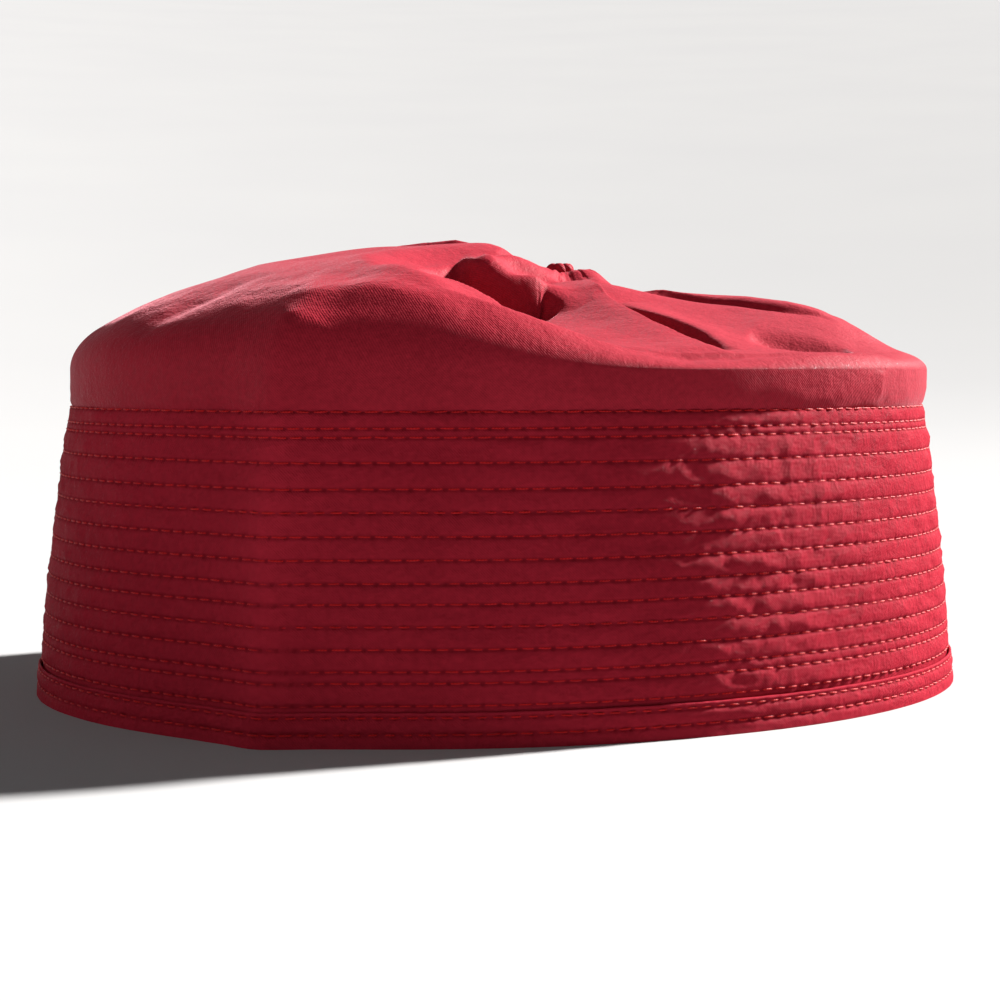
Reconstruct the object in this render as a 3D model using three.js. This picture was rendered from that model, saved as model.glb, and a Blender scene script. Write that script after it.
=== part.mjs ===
// A red cotton kufi cap, resting on its rim. Millimetres, +Z up, the origin at the middle of the
// rim on the surface that the cap stands on, +X along the long way of the oval.
// Four pieces: the quilted band, the hem that binds its lower edge, the pleated crown, and the
// knot that gathers the crown's cloth.

import * as THREE from "three";
import { mergeVertices } from "three/addons/utils/BufferGeometryUtils.js";

// Driving sizes, in millimetres and degrees.
const size = {
  rimLength: 200, // long way of the oval, outside the hem
  rimWidth: 170, // short way
  creaseReach: 5.3, // how far the two pressed creases stand out of the oval
  creaseAngle: 38.1, // where they stand, from +X, and again on the opposite side
  creaseSpread: 5.5, // angle over which a crease dies away
  creaseRounding: 1.7, // half angle of its rounded corner
  bandHeight: 58.8, // from the surface to the top stitch row
  bandWall: 2.4,
  bandLean: 6.9, // how far the band leans in at its top
  stitchSink: 0.45, // how deep a stitch row pulls the cloth in
  hemHeight: 6.8,
  hemWall: 0.8,
  hemProud: 0.5, // how far the hem stands out of the band above it
  crownWall: 1.2,
  wallRise: 7.2, // the crown's upright wall above the band
  wallBulge: 0.6, // how far that wall swells past the band
  domeRise: 28, // from that wall to the top of a full dome
  gatherRise: 20.7, // from that wall to the gathered cloth under the knot
  foldDrop: 7, // width of the steep face where the crown's front folds over
  pleatHeight: 3.4,
  gatherAcross: 9, // flat, gathered cloth under the knot
  knotAlong: 12.9, // the knot's place, from the middle of the oval
  knotAside: -0.7,
  knotAcross: 5.4,
  knotHeight: 2.6,
  clearance: 0.3, // between neighbouring pieces
};

// How finely the round pieces are cut.
const facets = { band: 64, hem: 64, crown: 72, crownRings: 17, knot: 22 };

const cloth = { color: 0xb3192e, roughness: 0.82, metalness: 0 };

// Heights of the 15 stitch rows above the hem, from the top one down, as shares of bandHeight.
const stitchRows = [
  1, 0.951, 0.924, 0.849, 0.771, 0.702, 0.631, 0.562, 0.493, 0.432, 0.366, 0.299, 0.234, 0.2, 0.134,
];

// How full the crown stands, section by section: the angle round the cap, then the share of the
// full dome at five shares of the way from the knot to the shoulder. The last column is the share
// on the near side of the fold line, where the cloth rolls over the sunken part.
const sectionShares = { knot: 0.15, inner: 0.35, middle: 0.55, outer: 0.75, edge: 0.92 };
const crownSections = [
  { angle: 0, knot: 0.6, inner: 0.61, middle: 0.65, outer: 0.69, edge: 0.54, roll: 0.66 },
  { angle: 30, knot: 0.62, inner: 0.62, middle: 0.64, outer: 0.67, edge: 0.62, roll: 0.7 },
  { angle: 60, knot: 0.7, inner: 0.72, middle: 0.73, outer: 0.74, edge: 0.72, roll: 0.77 },
  { angle: 90, knot: 0.8, inner: 0.85, middle: 0.85, outer: 0.84, edge: 0.82, roll: 0.86 },
  { angle: 120, knot: 0.9, inner: 0.95, middle: 0.94, outer: 0.93, edge: 0.89, roll: 0.94 },
  { angle: 150, knot: 0.95, inner: 1.01, middle: 1, outer: 0.95, edge: 0.88, roll: 0.98 },
  { angle: 180, knot: 0.93, inner: 1.01, middle: 1.01, outer: 0.96, edge: 0.9, roll: 0.98 },
  { angle: 210, knot: 0.66, inner: 0.42, middle: 0.44, outer: 0.5, edge: 0.6, roll: 0.98 },
  { angle: 240, knot: 0.66, inner: 0.44, middle: 0.38, outer: 0.38, edge: 0.4, roll: 0.9 },
  { angle: 270, knot: 0.64, inner: 0.48, middle: 0.37, outer: 0.3, edge: 0.26, roll: 0.2 },
  { angle: 300, knot: 0.65, inner: 0.53, middle: 0.42, outer: 0.33, edge: 0.3, roll: 0.3 },
  { angle: 330, knot: 0.6, inner: 0.6, middle: 0.62, outer: 0.62, edge: 0.48, roll: 0.6 },
];

// The line along which the crown's front folds over, from the knot outwards.
const foldLine = [
  { share: 0.08, angle: 230 },
  { share: 0.2, angle: 216 },
  { share: 0.32, angle: 209 },
  { share: 0.45, angle: 212 },
  { share: 0.56, angle: 219 },
  { share: 0.67, angle: 227 },
  { share: 0.79, angle: 238 },
  { share: 0.86, angle: 244 },
  { share: 0.9, angle: 257 },
  { share: 0.95, angle: 288 },
];

// The pleats that run out from the knot: the angle of the folded edge at its two ends, the shares
// of the way out where they lie, the height, the angle that the long side takes, and the side that
// the edge faces.
const pleats = [
  { fromAngle: 284, fromShare: 0.1, toAngle: 265, toShare: 0.86, height: 0.9, slope: 26, faces: 1 },
  { fromAngle: 334, fromShare: 0.12, toAngle: 326, toShare: 0.72, height: 0.8, slope: 30, faces: -1 },
  { fromAngle: 12, fromShare: 0.1, toAngle: 22, toShare: 0.7, height: 0.7, slope: 28, faces: 1 },
  { fromAngle: 58, fromShare: 0.1, toAngle: 66, toShare: 0.65, height: 0.8, slope: 32, faces: 1 },
  { fromAngle: 100, fromShare: 0.1, toAngle: 110, toShare: 0.7, height: 0.7, slope: 32, faces: 1 },
  { fromAngle: 142, fromShare: 0.1, toAngle: 150, toShare: 0.6, height: 0.8, slope: 32, faces: 1 },
  { fromAngle: 240, fromShare: 0.1, toAngle: 240, toShare: 0.6, height: 0.5, slope: 22, faces: 1 },
];

const radians = THREE.MathUtils.degToRad;

/** The signed angle from b to a, in degrees, between -180 and 180. */
function turnBetween(a, b) {
  return THREE.MathUtils.euclideanModulo(a - b + 180, 360) - 180;
}

/** Catmull-Rom between b and c. */
function smoothThrough(a, b, c, d, t) {
  const slope = (c - a) / 2;
  const next = (d - b) / 2;
  const jump = c - b;
  return b + t * (slope + t * (3 * jump - 2 * slope - next + t * (slope + next - 2 * jump)));
}

/** Reads one column of a table whose rows are in the order of their shares. */
function readByShare(rows, share, column) {
  const last = rows.length - 1;
  const value = (i) => rows[THREE.MathUtils.clamp(i, 0, last)][column];
  if (share <= rows[0].share) return value(0);
  if (share >= rows[last].share) return value(last);
  const i = rows.findIndex((row) => row.share > share) - 1;
  const t = (share - rows[i].share) / (rows[i + 1].share - rows[i].share);
  return smoothThrough(value(i - 1), value(i), value(i + 1), value(i + 2), t);
}

/** Reads one column of the crown's sections at any angle. */
function readByAngle(angle, column) {
  const rows = crownSections;
  const at = (THREE.MathUtils.euclideanModulo(angle, 360) * rows.length) / 360;
  const low = Math.floor(at);
  const value = (offset) => rows[(low + offset + rows.length) % rows.length][column];
  return smoothThrough(value(-1), value(0), value(1), value(2), at - low);
}

/** How far a pressed crease reaches out at an angle, from 0 to 1. */
function creaseShare(angle) {
  const rounding = size.creaseRounding;
  const away = (crease) => Math.abs(turnBetween(angle, crease));
  const nearest = Math.min(away(size.creaseAngle), away(size.creaseAngle + 180));
  return Math.exp((rounding - Math.hypot(nearest, rounding)) / size.creaseSpread);
}

/** The outside of the oval at an angle, a distance in from the hem's own outline. */
function ovalPoint(angle, drawnIn, height) {
  const mean = (size.rimLength + size.rimWidth) / 4;
  const swing = (size.rimLength - size.rimWidth) / 4;
  const crease = size.creaseReach * creaseShare(angle);
  const out = mean + swing * Math.cos(radians(2 * angle)) + crease - drawnIn;
  return new THREE.Vector3(out * Math.cos(radians(angle)), out * Math.sin(radians(angle)), height);
}

/** Evenly spaced angles round the cap, in degrees. */
function anglesOf(count) {
  return Array.from({ length: count }, (_, i) => (360 * i) / count);
}

/** A ring of points on the oval. */
function ovalRing(count, drawnIn, height) {
  return anglesOf(count).map((angle) => ovalPoint(angle, drawnIn, height));
}

/** How far the cap's side leans in at a height above the surface. */
function leanAt(height) {
  const share = height / size.bandHeight;
  const straight = 0.4; // the rest of the lean grows with the square of the height
  return size.bandLean * share * (straight + (1 - straight) * share);
}

/**
 * A closed skin through rings of points that follow each other along the surface. Each ring has
 * the same number of points. Without end points the last ring joins the first one again.
 */
function skin(rings, ends) {
  const count = rings[0].length;
  const position = rings.flat().flatMap((p) => p.toArray());
  const index = [];
  const pairs = ends ? rings.length - 1 : rings.length;
  for (let r = 0; r < pairs; r++) {
    const low = r * count;
    const high = ((r + 1) % rings.length) * count;
    for (let i = 0; i < count; i++) {
      const j = (i + 1) % count;
      index.push(low + i, low + j, high + j, low + i, high + j, high + i);
    }
  }
  if (ends) {
    const first = rings.length * count;
    const top = first - count;
    position.push(...ends.first.toArray(), ...ends.last.toArray());
    for (let i = 0; i < count; i++) {
      const j = (i + 1) % count;
      index.push(first, j, i, first + 1, top + i, top + j);
    }
  }
  const geometry = new THREE.BufferGeometry();
  geometry.setAttribute("position", new THREE.Float32BufferAttribute(position, 3));
  geometry.setIndex(index);
  const merged = mergeVertices(geometry);
  merged.computeVertexNormals();
  return merged;
}

/** The band: a quilted wall whose outside is drawn in at each stitch row. */
function band() {
  const bottom = size.hemWall + size.clearance;
  const hemTop = size.hemHeight + size.clearance;
  const ring = (height, inset) => ovalRing(facets.band, leanAt(height) + inset, height);
  const rows = stitchRows.map((share) => share * size.bandHeight).reverse();
  const behindHem = size.hemWall + size.clearance;
  const outside = [ring(bottom, behindHem), ring(hemTop, behindHem)];
  rows.forEach((height, i) => {
    outside.push(ring(height, size.hemProud + size.stitchSink));
    if (i + 1 < rows.length) {
      const gap = rows[i + 1] - height;
      const swell = Math.min(1, gap / size.bandWall); // close rows leave the cloth little room
      outside.push(ring(height + gap / 2, size.hemProud + size.stitchSink * (1 - swell)));
    }
  });
  const insideHeights = [1, 0.66, 0.33].map((share) => share * size.bandHeight);
  const inset = size.hemProud + size.bandWall;
  const inside = [...insideHeights, hemTop, bottom].map((height) => ring(height, inset));
  return skin([...outside, ...inside]);
}

/** The hem: a strip turned round the band's lower edge, which the cap stands on. */
function hem() {
  const wall = size.hemWall;
  const top = size.hemHeight;
  const inner = size.hemProud + size.bandWall + size.clearance;
  const ring = (height, inset) => ovalRing(facets.hem, leanAt(height) + inset, height);
  const edge = wall / 2;
  return skin([
    ring(0, wall),
    ring(edge, 0),
    ring(top / 2, 0),
    ring(top - edge, 0),
    ring(top, wall),
    ring(wall, wall),
    ring(wall, inner),
    ring(top, inner),
    ring(top - edge, inner + wall),
    ring(edge, inner + wall),
    ring(0, inner),
  ]);
}

/** How much of the front's roll is there at a place: 1 up to the fold line, 0 past its drop. */
function rollShare(angle, share, length) {
  const past = turnBetween(angle, readByShare(foldLine, share, "angle"));
  const beyond = (radians(past) * share * length) / size.foldDrop;
  const opening = THREE.MathUtils.smoothstep(THREE.MathUtils.euclideanModulo(angle, 360), 150, 185);
  const gentle = 0.3; // the part of the drop that the cloth makes before the fold line
  const before = gentle * THREE.MathUtils.smoothstep(beyond, -2.2, 0);
  const after = (1 - gentle) * THREE.MathUtils.smoothstep(beyond, -0.1, 0.8);
  return opening * (1 - before - after);
}

/** How full the crown stands at an angle and a share of the way, whose whole length is given. */
function fullness(angle, share, length) {
  const rows = Object.entries(sectionShares).map(([name, at]) => {
    return { share: at, level: readByAngle(angle, name) };
  });
  const sunken = readByShare(rows, share, "level");
  const rolled = readByAngle(angle, "roll");
  return THREE.MathUtils.lerp(sunken, rolled, rollShare(angle, share, length));
}

/** How high the pleats stand at a place on the crown, as a share of a full pleat. */
function pleatShare(angle, share) {
  const heights = pleats.map((pleat) => {
    const along = (share - pleat.fromShare) / (pleat.toShare - pleat.fromShare);
    if (along <= 0 || along >= 1) return 0;
    const crest = pleat.fromAngle + turnBetween(pleat.toAngle, pleat.fromAngle) * along;
    const turn = turnBetween(angle, crest) * pleat.faces;
    const steep = pleat.slope / 5; // the folded edge drops off on the side that it faces
    const across = turn > 0 ? turn / steep : -turn / pleat.slope;
    const fade = Math.min(1, 5 * along) * Math.sqrt(1 - along);
    return across >= 1 ? 0 : pleat.height * fade * (1 - across);
  });
  return Math.max(...heights);
}

/** A point on the outside of the crown's top, without pleats, from 0 at the gathers to 1. */
function crownPoint(angle, share) {
  const foot = size.bandHeight + size.clearance + size.wallRise;
  const drawnIn = leanAt(size.bandHeight) + size.hemProud - size.wallBulge;
  const shoulder = ovalPoint(angle, drawnIn, foot);
  const knot = new THREE.Vector3(size.knotAlong, size.knotAside, foot);
  const gathered = knot.clone().lerp(shoulder, size.gatherAcross / 2 / shoulder.distanceTo(knot));
  const full = fullness(angle, share, shoulder.distanceTo(knot)) * Math.sqrt(1 - share * share);
  const blend = THREE.MathUtils.smoothstep(share, 0, sectionShares.knot);
  const point = gathered.lerp(shoulder, share);
  point.z += THREE.MathUtils.lerp(size.gatherRise, size.domeRise * full, blend);
  return point;
}

/** The point under crownPoint on the inside of the cloth, one wall in along the normal. */
function innerPoint(angle, share) {
  const nudge = 0.5; // degrees, and hundredths of the way out
  const here = crownPoint(angle, share);
  const round = crownPoint(angle + nudge, share).sub(crownPoint(angle - nudge, share));
  const inner = crownPoint(angle, Math.max(0, share - nudge / 100));
  const outer = crownPoint(angle, Math.min(1, share + nudge / 100));
  const normal = round.cross(inner.sub(outer)).normalize();
  return here.addScaledVector(normal, -size.crownWall);
}

/** The crown: an upright wall that rolls over a soft shoulder and is pleated into the knot. */
function crown() {
  const foot = size.bandHeight + size.clearance;
  const lean = leanAt(size.bandHeight) + size.hemProud;
  const angles = anglesOf(facets.crown);
  const steps = facets.crownRings;
  const turn = Math.PI / 2 / (steps - 1);
  const swollen = 0.7; // the wall's swelling part way up, and how far up, as shares
  const partWay = 0.35;
  const shares = Array.from({ length: steps }, (_, k) => Math.cos(turn * k));
  const wallRings = (inset) => [
    ovalRing(facets.crown, lean + size.stitchSink + inset, foot),
    ovalRing(facets.crown, lean - size.wallBulge * swollen + inset, foot + size.wallRise * partWay),
  ];
  const outside = shares.map((share) =>
    angles.map((angle) => {
      const point = crownPoint(angle, share);
      point.z += size.pleatHeight * pleatShare(angle, share);
      return point;
    }),
  );
  const inside = shares.map((share) => angles.map((angle) => innerPoint(angle, share)));
  const level = foot + size.wallRise + size.gatherRise;
  const middle = new THREE.Vector3(size.knotAlong, size.knotAside, level);
  const innerWall = wallRings(size.crownWall).reverse();
  return skin([...inside.reverse(), ...innerWall, ...wallRings(0), ...outside], {
    first: middle.clone().setZ(level - size.crownWall),
    last: middle,
  });
}

/** The knot: a small tuft of gathered cloth with a dimple in its top. */
function knot() {
  const foot = size.bandHeight + size.clearance + size.wallRise;
  const level = foot + size.gatherRise + size.clearance;
  const gathers = 7;
  const ripple = 0.1; // depth of the gathers, as a share of the radius
  const profile = [
    { out: 0.75, up: 0 },
    { out: 1, up: 0.35 },
    { out: 0.92, up: 0.75 },
    { out: 0.62, up: 1 },
    { out: 0.3, up: 0.8 },
  ];
  const ring = ({ out, up }) =>
    anglesOf(facets.knot).map((angle) => {
      const gathered = 1 + ripple * Math.cos(radians(angle * gathers)) * up;
      const radius = (size.knotAcross / 2) * out * gathered;
      return new THREE.Vector3(
        size.knotAlong + radius * Math.cos(radians(angle)),
        size.knotAside + radius * Math.sin(radians(angle)),
        level + size.knotHeight * up,
      );
    });
  const dimple = 0.45; // height of the dimple's floor, as a share of the knot's height
  const middle = new THREE.Vector3(size.knotAlong, size.knotAside, level);
  return skin(profile.map(ring), {
    first: middle,
    last: middle.clone().setZ(level + size.knotHeight * dimple),
  });
}

/** A named piece of the cap. */
function piece(name, geometry) {
  const mesh = new THREE.Mesh(geometry, new THREE.MeshStandardMaterial(cloth));
  mesh.name = name;
  return mesh;
}

const cap = new THREE.Group();
cap.name = "kufi_cap";
cap.add(piece("band", band()));
cap.add(piece("hem", hem()));
cap.add(piece("crown", crown()));
cap.add(piece("crown_knot", knot()));

export default cap;
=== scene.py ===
"""The looks of a red cotton kufi cap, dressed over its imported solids.

Sizes are in millimetres and angles in degrees, counted round the cap from +X, until a mesh is
made in metres. The band, the hem, the crown and its knot each replace the solid of the same
name, and Geometry Nodes lay the stitches along the sewn rows.
"""

import logging
import math
from dataclasses import dataclass, field
from enum import Enum

import bpy
import numpy as np
from mathutils import Matrix, Vector


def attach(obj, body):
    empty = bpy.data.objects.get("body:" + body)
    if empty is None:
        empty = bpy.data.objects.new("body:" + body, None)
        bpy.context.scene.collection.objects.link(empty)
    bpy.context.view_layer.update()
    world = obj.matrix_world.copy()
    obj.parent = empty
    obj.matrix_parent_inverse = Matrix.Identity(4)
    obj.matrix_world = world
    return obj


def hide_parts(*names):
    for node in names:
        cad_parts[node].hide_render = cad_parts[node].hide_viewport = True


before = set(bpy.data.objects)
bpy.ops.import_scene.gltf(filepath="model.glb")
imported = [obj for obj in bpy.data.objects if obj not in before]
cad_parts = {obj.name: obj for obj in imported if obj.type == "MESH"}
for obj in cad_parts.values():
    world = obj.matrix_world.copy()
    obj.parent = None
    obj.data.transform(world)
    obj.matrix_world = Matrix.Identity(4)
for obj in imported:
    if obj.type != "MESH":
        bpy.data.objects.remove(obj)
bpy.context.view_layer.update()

MM = 0.001
log = logging.getLogger("kufi_cap")


# Plain numbers


def turn_between(a: np.ndarray, b: np.ndarray) -> np.ndarray:
    """The signed angle from b to a, between -180 and 180 degrees."""
    return (a - b + 180) % 360 - 180


def smoothstep(x: np.ndarray, low: float, high: float) -> np.ndarray:
    """A soft step from 0 at low to 1 at high."""
    t = np.clip((x - low) / (high - low), 0, 1)
    return t * t * (3 - 2 * t)


def length_along(path: np.ndarray) -> np.ndarray:
    """The length from a path's first point to each of its points."""
    steps = np.linalg.norm(np.diff(path, axis=0), axis=1)
    return np.concatenate([[0], np.cumsum(steps)])


def smooth_through(
    a: np.ndarray, b: np.ndarray, c: np.ndarray, d: np.ndarray, t: np.ndarray
) -> np.ndarray:
    """A Catmull-Rom curve through four evenly spaced levels.

    Args:
        a: The level before the stretch.
        b: The level where it starts.
        c: The level where it ends.
        d: The level after it.
        t: The share of the stretch, from 0 to 1.

    Returns:
        The level at t.
    """
    slope = (c - a) / 2
    after = (d - b) / 2
    jump = c - b
    return b + t * (slope + t * (3 * jump - 2 * slope - after + t * (slope + after - 2 * jump)))


def read_by_share(at: tuple[float, ...], levels: np.ndarray, share: np.ndarray) -> np.ndarray:
    """Reads levels that are known at a few shares at any other share.

    Args:
        at: The shares where the levels are known, in order.
        levels: One row for each of them, as wide as share or one wide.
        share: Where to read.

    Returns:
        The smooth level at each share.
    """
    at, last = np.asarray(at), len(at) - 1
    levels = np.broadcast_to(levels, (len(at), *share.shape))
    share = np.clip(share, at[0], at[-1])
    low = np.clip(np.searchsorted(at, share, side="right") - 1, 0, last - 1)
    t = (share - at[low]) / (at[low + 1] - at[low])

    def level(i: np.ndarray) -> np.ndarray:
        """The level in row i of each column."""
        return np.take_along_axis(levels, np.clip(i, 0, last)[None], axis=0)[0]

    return smooth_through(level(low - 1), level(low), level(low + 1), level(low + 2), t)


class Ripples:
    """Smooth seeded noise that meets itself again once round the cap."""

    def __init__(self, seed: int, around: int, up: int) -> None:
        """Fills a grid of around by up random levels between -1 and 1."""
        self.levels = np.random.default_rng(seed).uniform(-1, 1, (around, up))

    def at(self, turn: np.ndarray, rise: np.ndarray) -> np.ndarray:
        """The level at any place.

        Args:
            turn: The share of the way round.
            rise: The share of the way up.

        Returns:
            The level, between -1 and 1.
        """
        around, up = self.levels.shape
        x, y = (turn % 1) * around, np.clip(rise, 0, 1) * (up - 1)
        i, j = np.floor(x).astype(int), np.minimum(np.floor(y).astype(int), max(up - 2, 0))
        fx, fy = smoothstep(x - i, 0, 1), smoothstep(y - j, 0, 1)
        i, k, m = i % around, (i + 1) % around, np.minimum(j + 1, up - 1)
        low = self.levels[i, j] * (1 - fx) + self.levels[k, j] * fx
        high = self.levels[i, m] * (1 - fx) + self.levels[k, m] * fx
        return low * (1 - fy) + high * fy


def beside(line: np.ndarray, flat: np.ndarray) -> tuple[np.ndarray, ...]:
    """Measures places against the nearest part of a line, all on the level.

    Args:
        line: The line's points.
        flat: The places.

    Returns:
        Each place's distance, its side as 1 for left or -1 for right, its share of the way
        along, and the way that points left there.
    """
    lengths = np.linalg.norm(np.diff(line, axis=0), axis=1)
    starts = length_along(line)
    distance = np.full(flat.shape[:-1], np.inf)
    side, along = np.zeros_like(distance), np.zeros_like(distance)
    left = np.zeros_like(flat)
    for k, length in enumerate(lengths):
        way = (line[k + 1] - line[k]) / length
        leftward = np.array([-way[1], way[0]])
        offset = flat - line[k]
        t = np.clip(offset @ way, 0, length)
        gap = np.linalg.norm(offset - t[..., None] * way, axis=-1)
        nearer = gap < distance
        distance = np.where(nearer, gap, distance)
        side = np.where(nearer, np.sign(offset @ leftward), side)
        along = np.where(nearer, (starts[k] + t) / starts[-1], along)
        left = np.where(nearer[..., None], leftward, left)
    return distance, side, along, left


# The shape that the pieces share


@dataclass(frozen=True)
class CapPlan:
    """The oval that every piece follows, with its two pressed creases."""

    rim_length: float = 200.0
    rim_width: float = 170.0
    crease_reach: float = 5.3
    crease_angle: float = 38.1
    crease_spread: float = 5.5
    crease_rounding: float = 1.7
    band_height: float = 58.8
    band_lean: float = 6.9
    straight_lean: float = 0.4
    hem_height: float = 6.8
    hem_proud: float = 0.5
    stitch_sink: float = 0.45

    def crease_share(self, angle: np.ndarray) -> np.ndarray:
        """How far the creases reach out.

        Args:
            angle: Angles round the cap.

        Returns:
            A share of the full reach at each angle, from 0 to 1.
        """
        one = np.abs(turn_between(angle, self.crease_angle))
        other = np.abs(turn_between(angle, self.crease_angle + 180))
        away = np.hypot(np.minimum(one, other), self.crease_rounding)
        return np.exp((self.crease_rounding - away) / self.crease_spread)

    def point(self, angle: np.ndarray, drawn_in: np.ndarray, height: np.ndarray) -> np.ndarray:
        """Points on the oval.

        Args:
            angle: Angles round the cap.
            drawn_in: How far in from the hem's own outline.
            height: Heights above the surface that the cap stands on.

        Returns:
            The points.
        """
        turn = np.radians(angle)
        mean = (self.rim_length + self.rim_width) / 4
        swing = (self.rim_length - self.rim_width) / 4
        out = mean + swing * np.cos(2 * turn) + self.crease_reach * self.crease_share(angle)
        out, height = np.broadcast_arrays(out - drawn_in, height)
        return np.stack([out * np.cos(turn), out * np.sin(turn), height], axis=-1)

    def lean(self, height: np.ndarray) -> np.ndarray:
        """How far the cap's side leans in at a height above the surface."""
        share = height / self.band_height
        return self.band_lean * share * (self.straight_lean + (1 - self.straight_lean) * share)

    def columns(self, count: int) -> np.ndarray:
        """Angles that are evenly spaced along the rim.

        Args:
            count: The number of columns.

        Returns:
            Their angles, with the first one again at the end.
        """
        fine = np.linspace(0, 360, 3601)
        run = length_along(self.point(fine, 0, 0))
        return np.interp(np.linspace(0, run[-1], count + 1), run, fine)


@dataclass(frozen=True)
class StitchRow:
    """One sewn row: its height, and where round the cap its sewing starts."""

    height: float
    start: int


@dataclass(frozen=True)
class Sewing:
    """The rows sewn round the cap, and the stitch that they are sewn with."""

    pitch: float = 3.0
    reach: float = 1.32
    bow: float = 0.5
    bite: float = 0.3
    thread: float = 0.18
    uneven: float = 0.07
    seed: int = 41
    shares: tuple[float, ...] = (
        1, 0.951, 0.924, 0.849, 0.771, 0.702, 0.631, 0.562, 0.493, 0.432, 0.366, 0.299, 0.234, 0.2,
        0.134,
    )
    hem_shares: tuple[float, ...] = (0.1, 0.05)

    def rows(self, plan: CapPlan, on_hem: bool, count: int) -> list[StitchRow]:
        """The rows on the band or on the hem, from the lowest up.

        Args:
            plan: The cap's plan.
            on_hem: Whether the rows are the hem's.
            count: The number of columns round the cap.

        Returns:
            The rows, each with the column where it starts.
        """
        shares = self.hem_shares if on_hem else self.shares
        starts = np.random.default_rng(self.seed + on_hem).integers(0, count, len(shares))
        found = [StitchRow(s * plan.band_height, int(k)) for s, k in zip(shares, starts)]
        return found[::-1]

    def counts(self, path: np.ndarray, start: int) -> np.ndarray:
        """The number of stitches from a row's start to each point of its path, once round."""
        along = length_along(path)
        return (along - along[start]) / along[-1] * round(along[-1] / self.pitch)

    def pull(self, path: np.ndarray, start: int) -> np.ndarray:
        """How hard the thread draws the cloth in along a row, from 0 to 1 at its holes."""
        return 0.5 + 0.5 * np.cos(2 * math.pi * (self.counts(path, start) + 0.5))

    def stitch_map(
        self, paths: list[np.ndarray], rows: list[StitchRow], heights: np.ndarray
    ) -> np.ndarray:
        """The map of the count of stitches and of the distance from the nearest row.

        Args:
            paths: The path of the nearest row, for each strip.
            rows: That row, for each strip.
            heights: The height of each ring.

        Returns:
            The map's coordinates by strip, edge, column and axis.
        """
        sheets = []
        for path, row, low, high in zip(paths, rows, heights, np.roll(heights, -1)):
            counts = self.counts(path, row.start)
            edges = [np.full_like(counts, level - row.height) for level in (low, high)]
            sheets.append([np.stack([counts, edge], axis=-1) for edge in edges])
        return np.array(sheets)


# Meshes


def put(name: str, data: bpy.types.ID) -> bpy.types.Object:
    """Makes an object of some data and links it to the scene.

    Args:
        name: The object's name.
        data: Its mesh, lamp or camera.

    Returns:
        The object.
    """
    thing = bpy.data.objects.new(name, data)
    bpy.context.scene.collection.objects.link(thing)
    return thing


class Side(Enum):
    """The side of the cloth that stitches lie on."""

    OUTSIDE = 1
    INSIDE = -1


@dataclass
class Skin:
    """A surface through rings of points that follow each other, each once round the cap.

    The rings' last point is their first one again, so that a map of the surface can be cut
    there. With no ends the last ring joins the first one.
    """

    name: str
    rings: np.ndarray
    ends: tuple[np.ndarray, np.ndarray] | None = None
    maps: dict[str, np.ndarray] = field(default_factory=dict)
    levels: dict[str, np.ndarray] = field(default_factory=dict)

    def build(self) -> bpy.types.Object:
        """Makes the object, in metres, with its maps and levels.

        Returns:
            The object, at the origin, smooth shaded.
        """
        ring_count, columns = self.rings.shape[0], self.rings.shape[1] - 1
        strips = ring_count - 1 if self.ends else ring_count
        points = self.rings[:, :-1].reshape(-1, 3)
        low = np.arange(strips)[:, None] * columns
        high = (np.arange(1, strips + 1)[:, None] % ring_count) * columns
        i = np.arange(columns)[None]
        j = (i + 1) % columns
        faces = np.stack([low + i, low + j, high + j, high + i], axis=-1).reshape(-1, 4).tolist()
        if self.ends:
            first, top = len(points), (ring_count - 1) * columns
            points = np.concatenate([points, np.array(self.ends)])
            faces += [[first, int(b), int(a)] for a, b in zip(i[0], j[0])]
            faces += [[first + 1, top + int(a), top + int(b)] for a, b in zip(i[0], j[0])]
        mesh = bpy.data.meshes.new(self.name)
        mesh.from_pydata((points * MM).tolist(), [], faces)
        for name, cut in self.maps.items():
            self._lay_map(mesh, name, cut, strips, columns)
        for name, level in self.levels.items():
            values = np.broadcast_to(level, self.rings.shape[:2])[:, :-1].ravel()
            values = np.pad(values, (0, len(points) - len(values)))
            layer = mesh.attributes.new(name, "FLOAT", "POINT")
            layer.data.foreach_set("value", values.astype(np.float32))
        mesh.shade_smooth()
        mesh.validate()
        return put(self.name, mesh)

    def _lay_map(
        self, mesh: bpy.types.Mesh, name: str, cut: np.ndarray, strips: int, columns: int
    ) -> None:
        """Lays one map on the mesh.

        Args:
            mesh: The mesh.
            name: The map's name.
            cut: Its coordinates in millimetres by strip, edge of the strip, column and axis.
            strips: The number of strips of faces.
            columns: The number of faces in a strip.
        """
        low, high = cut[:strips, 0], cut[:strips, 1]
        corners = [low[:, :-1], low[:, 1:], high[:, 1:], high[:, :-1]]
        flat = np.stack(corners, axis=2).reshape(-1, 2)
        missing = len(mesh.loops) - len(flat)
        flat = np.concatenate([flat, np.zeros((missing, 2))]) * MM
        layer = mesh.uv_layers.new(name=name)
        layer.uv.foreach_set("vector", flat.astype(np.float32).ravel())


def ring_map(across: np.ndarray, up: np.ndarray, closed: bool) -> np.ndarray:
    """A map whose coordinates run on from ring to ring.

    Args:
        across: The first coordinate, by column or by ring and column.
        up: The second coordinate, by ring or by ring and column.
        closed: Whether the last ring joins the first one.

    Returns:
        The map's coordinates by strip, edge, column and axis.
    """
    up = up[:, None] if up.ndim == 1 else up
    across, up = np.broadcast_arrays(np.atleast_2d(across), up)
    sheet = np.stack([across, up], axis=-1)
    after = np.roll(sheet, -1, axis=0)
    if closed:
        after[-1, :, 1] = sheet[-1, :, 1] + 1
    return np.stack([sheet, after], axis=1)


# Node trees


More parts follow.
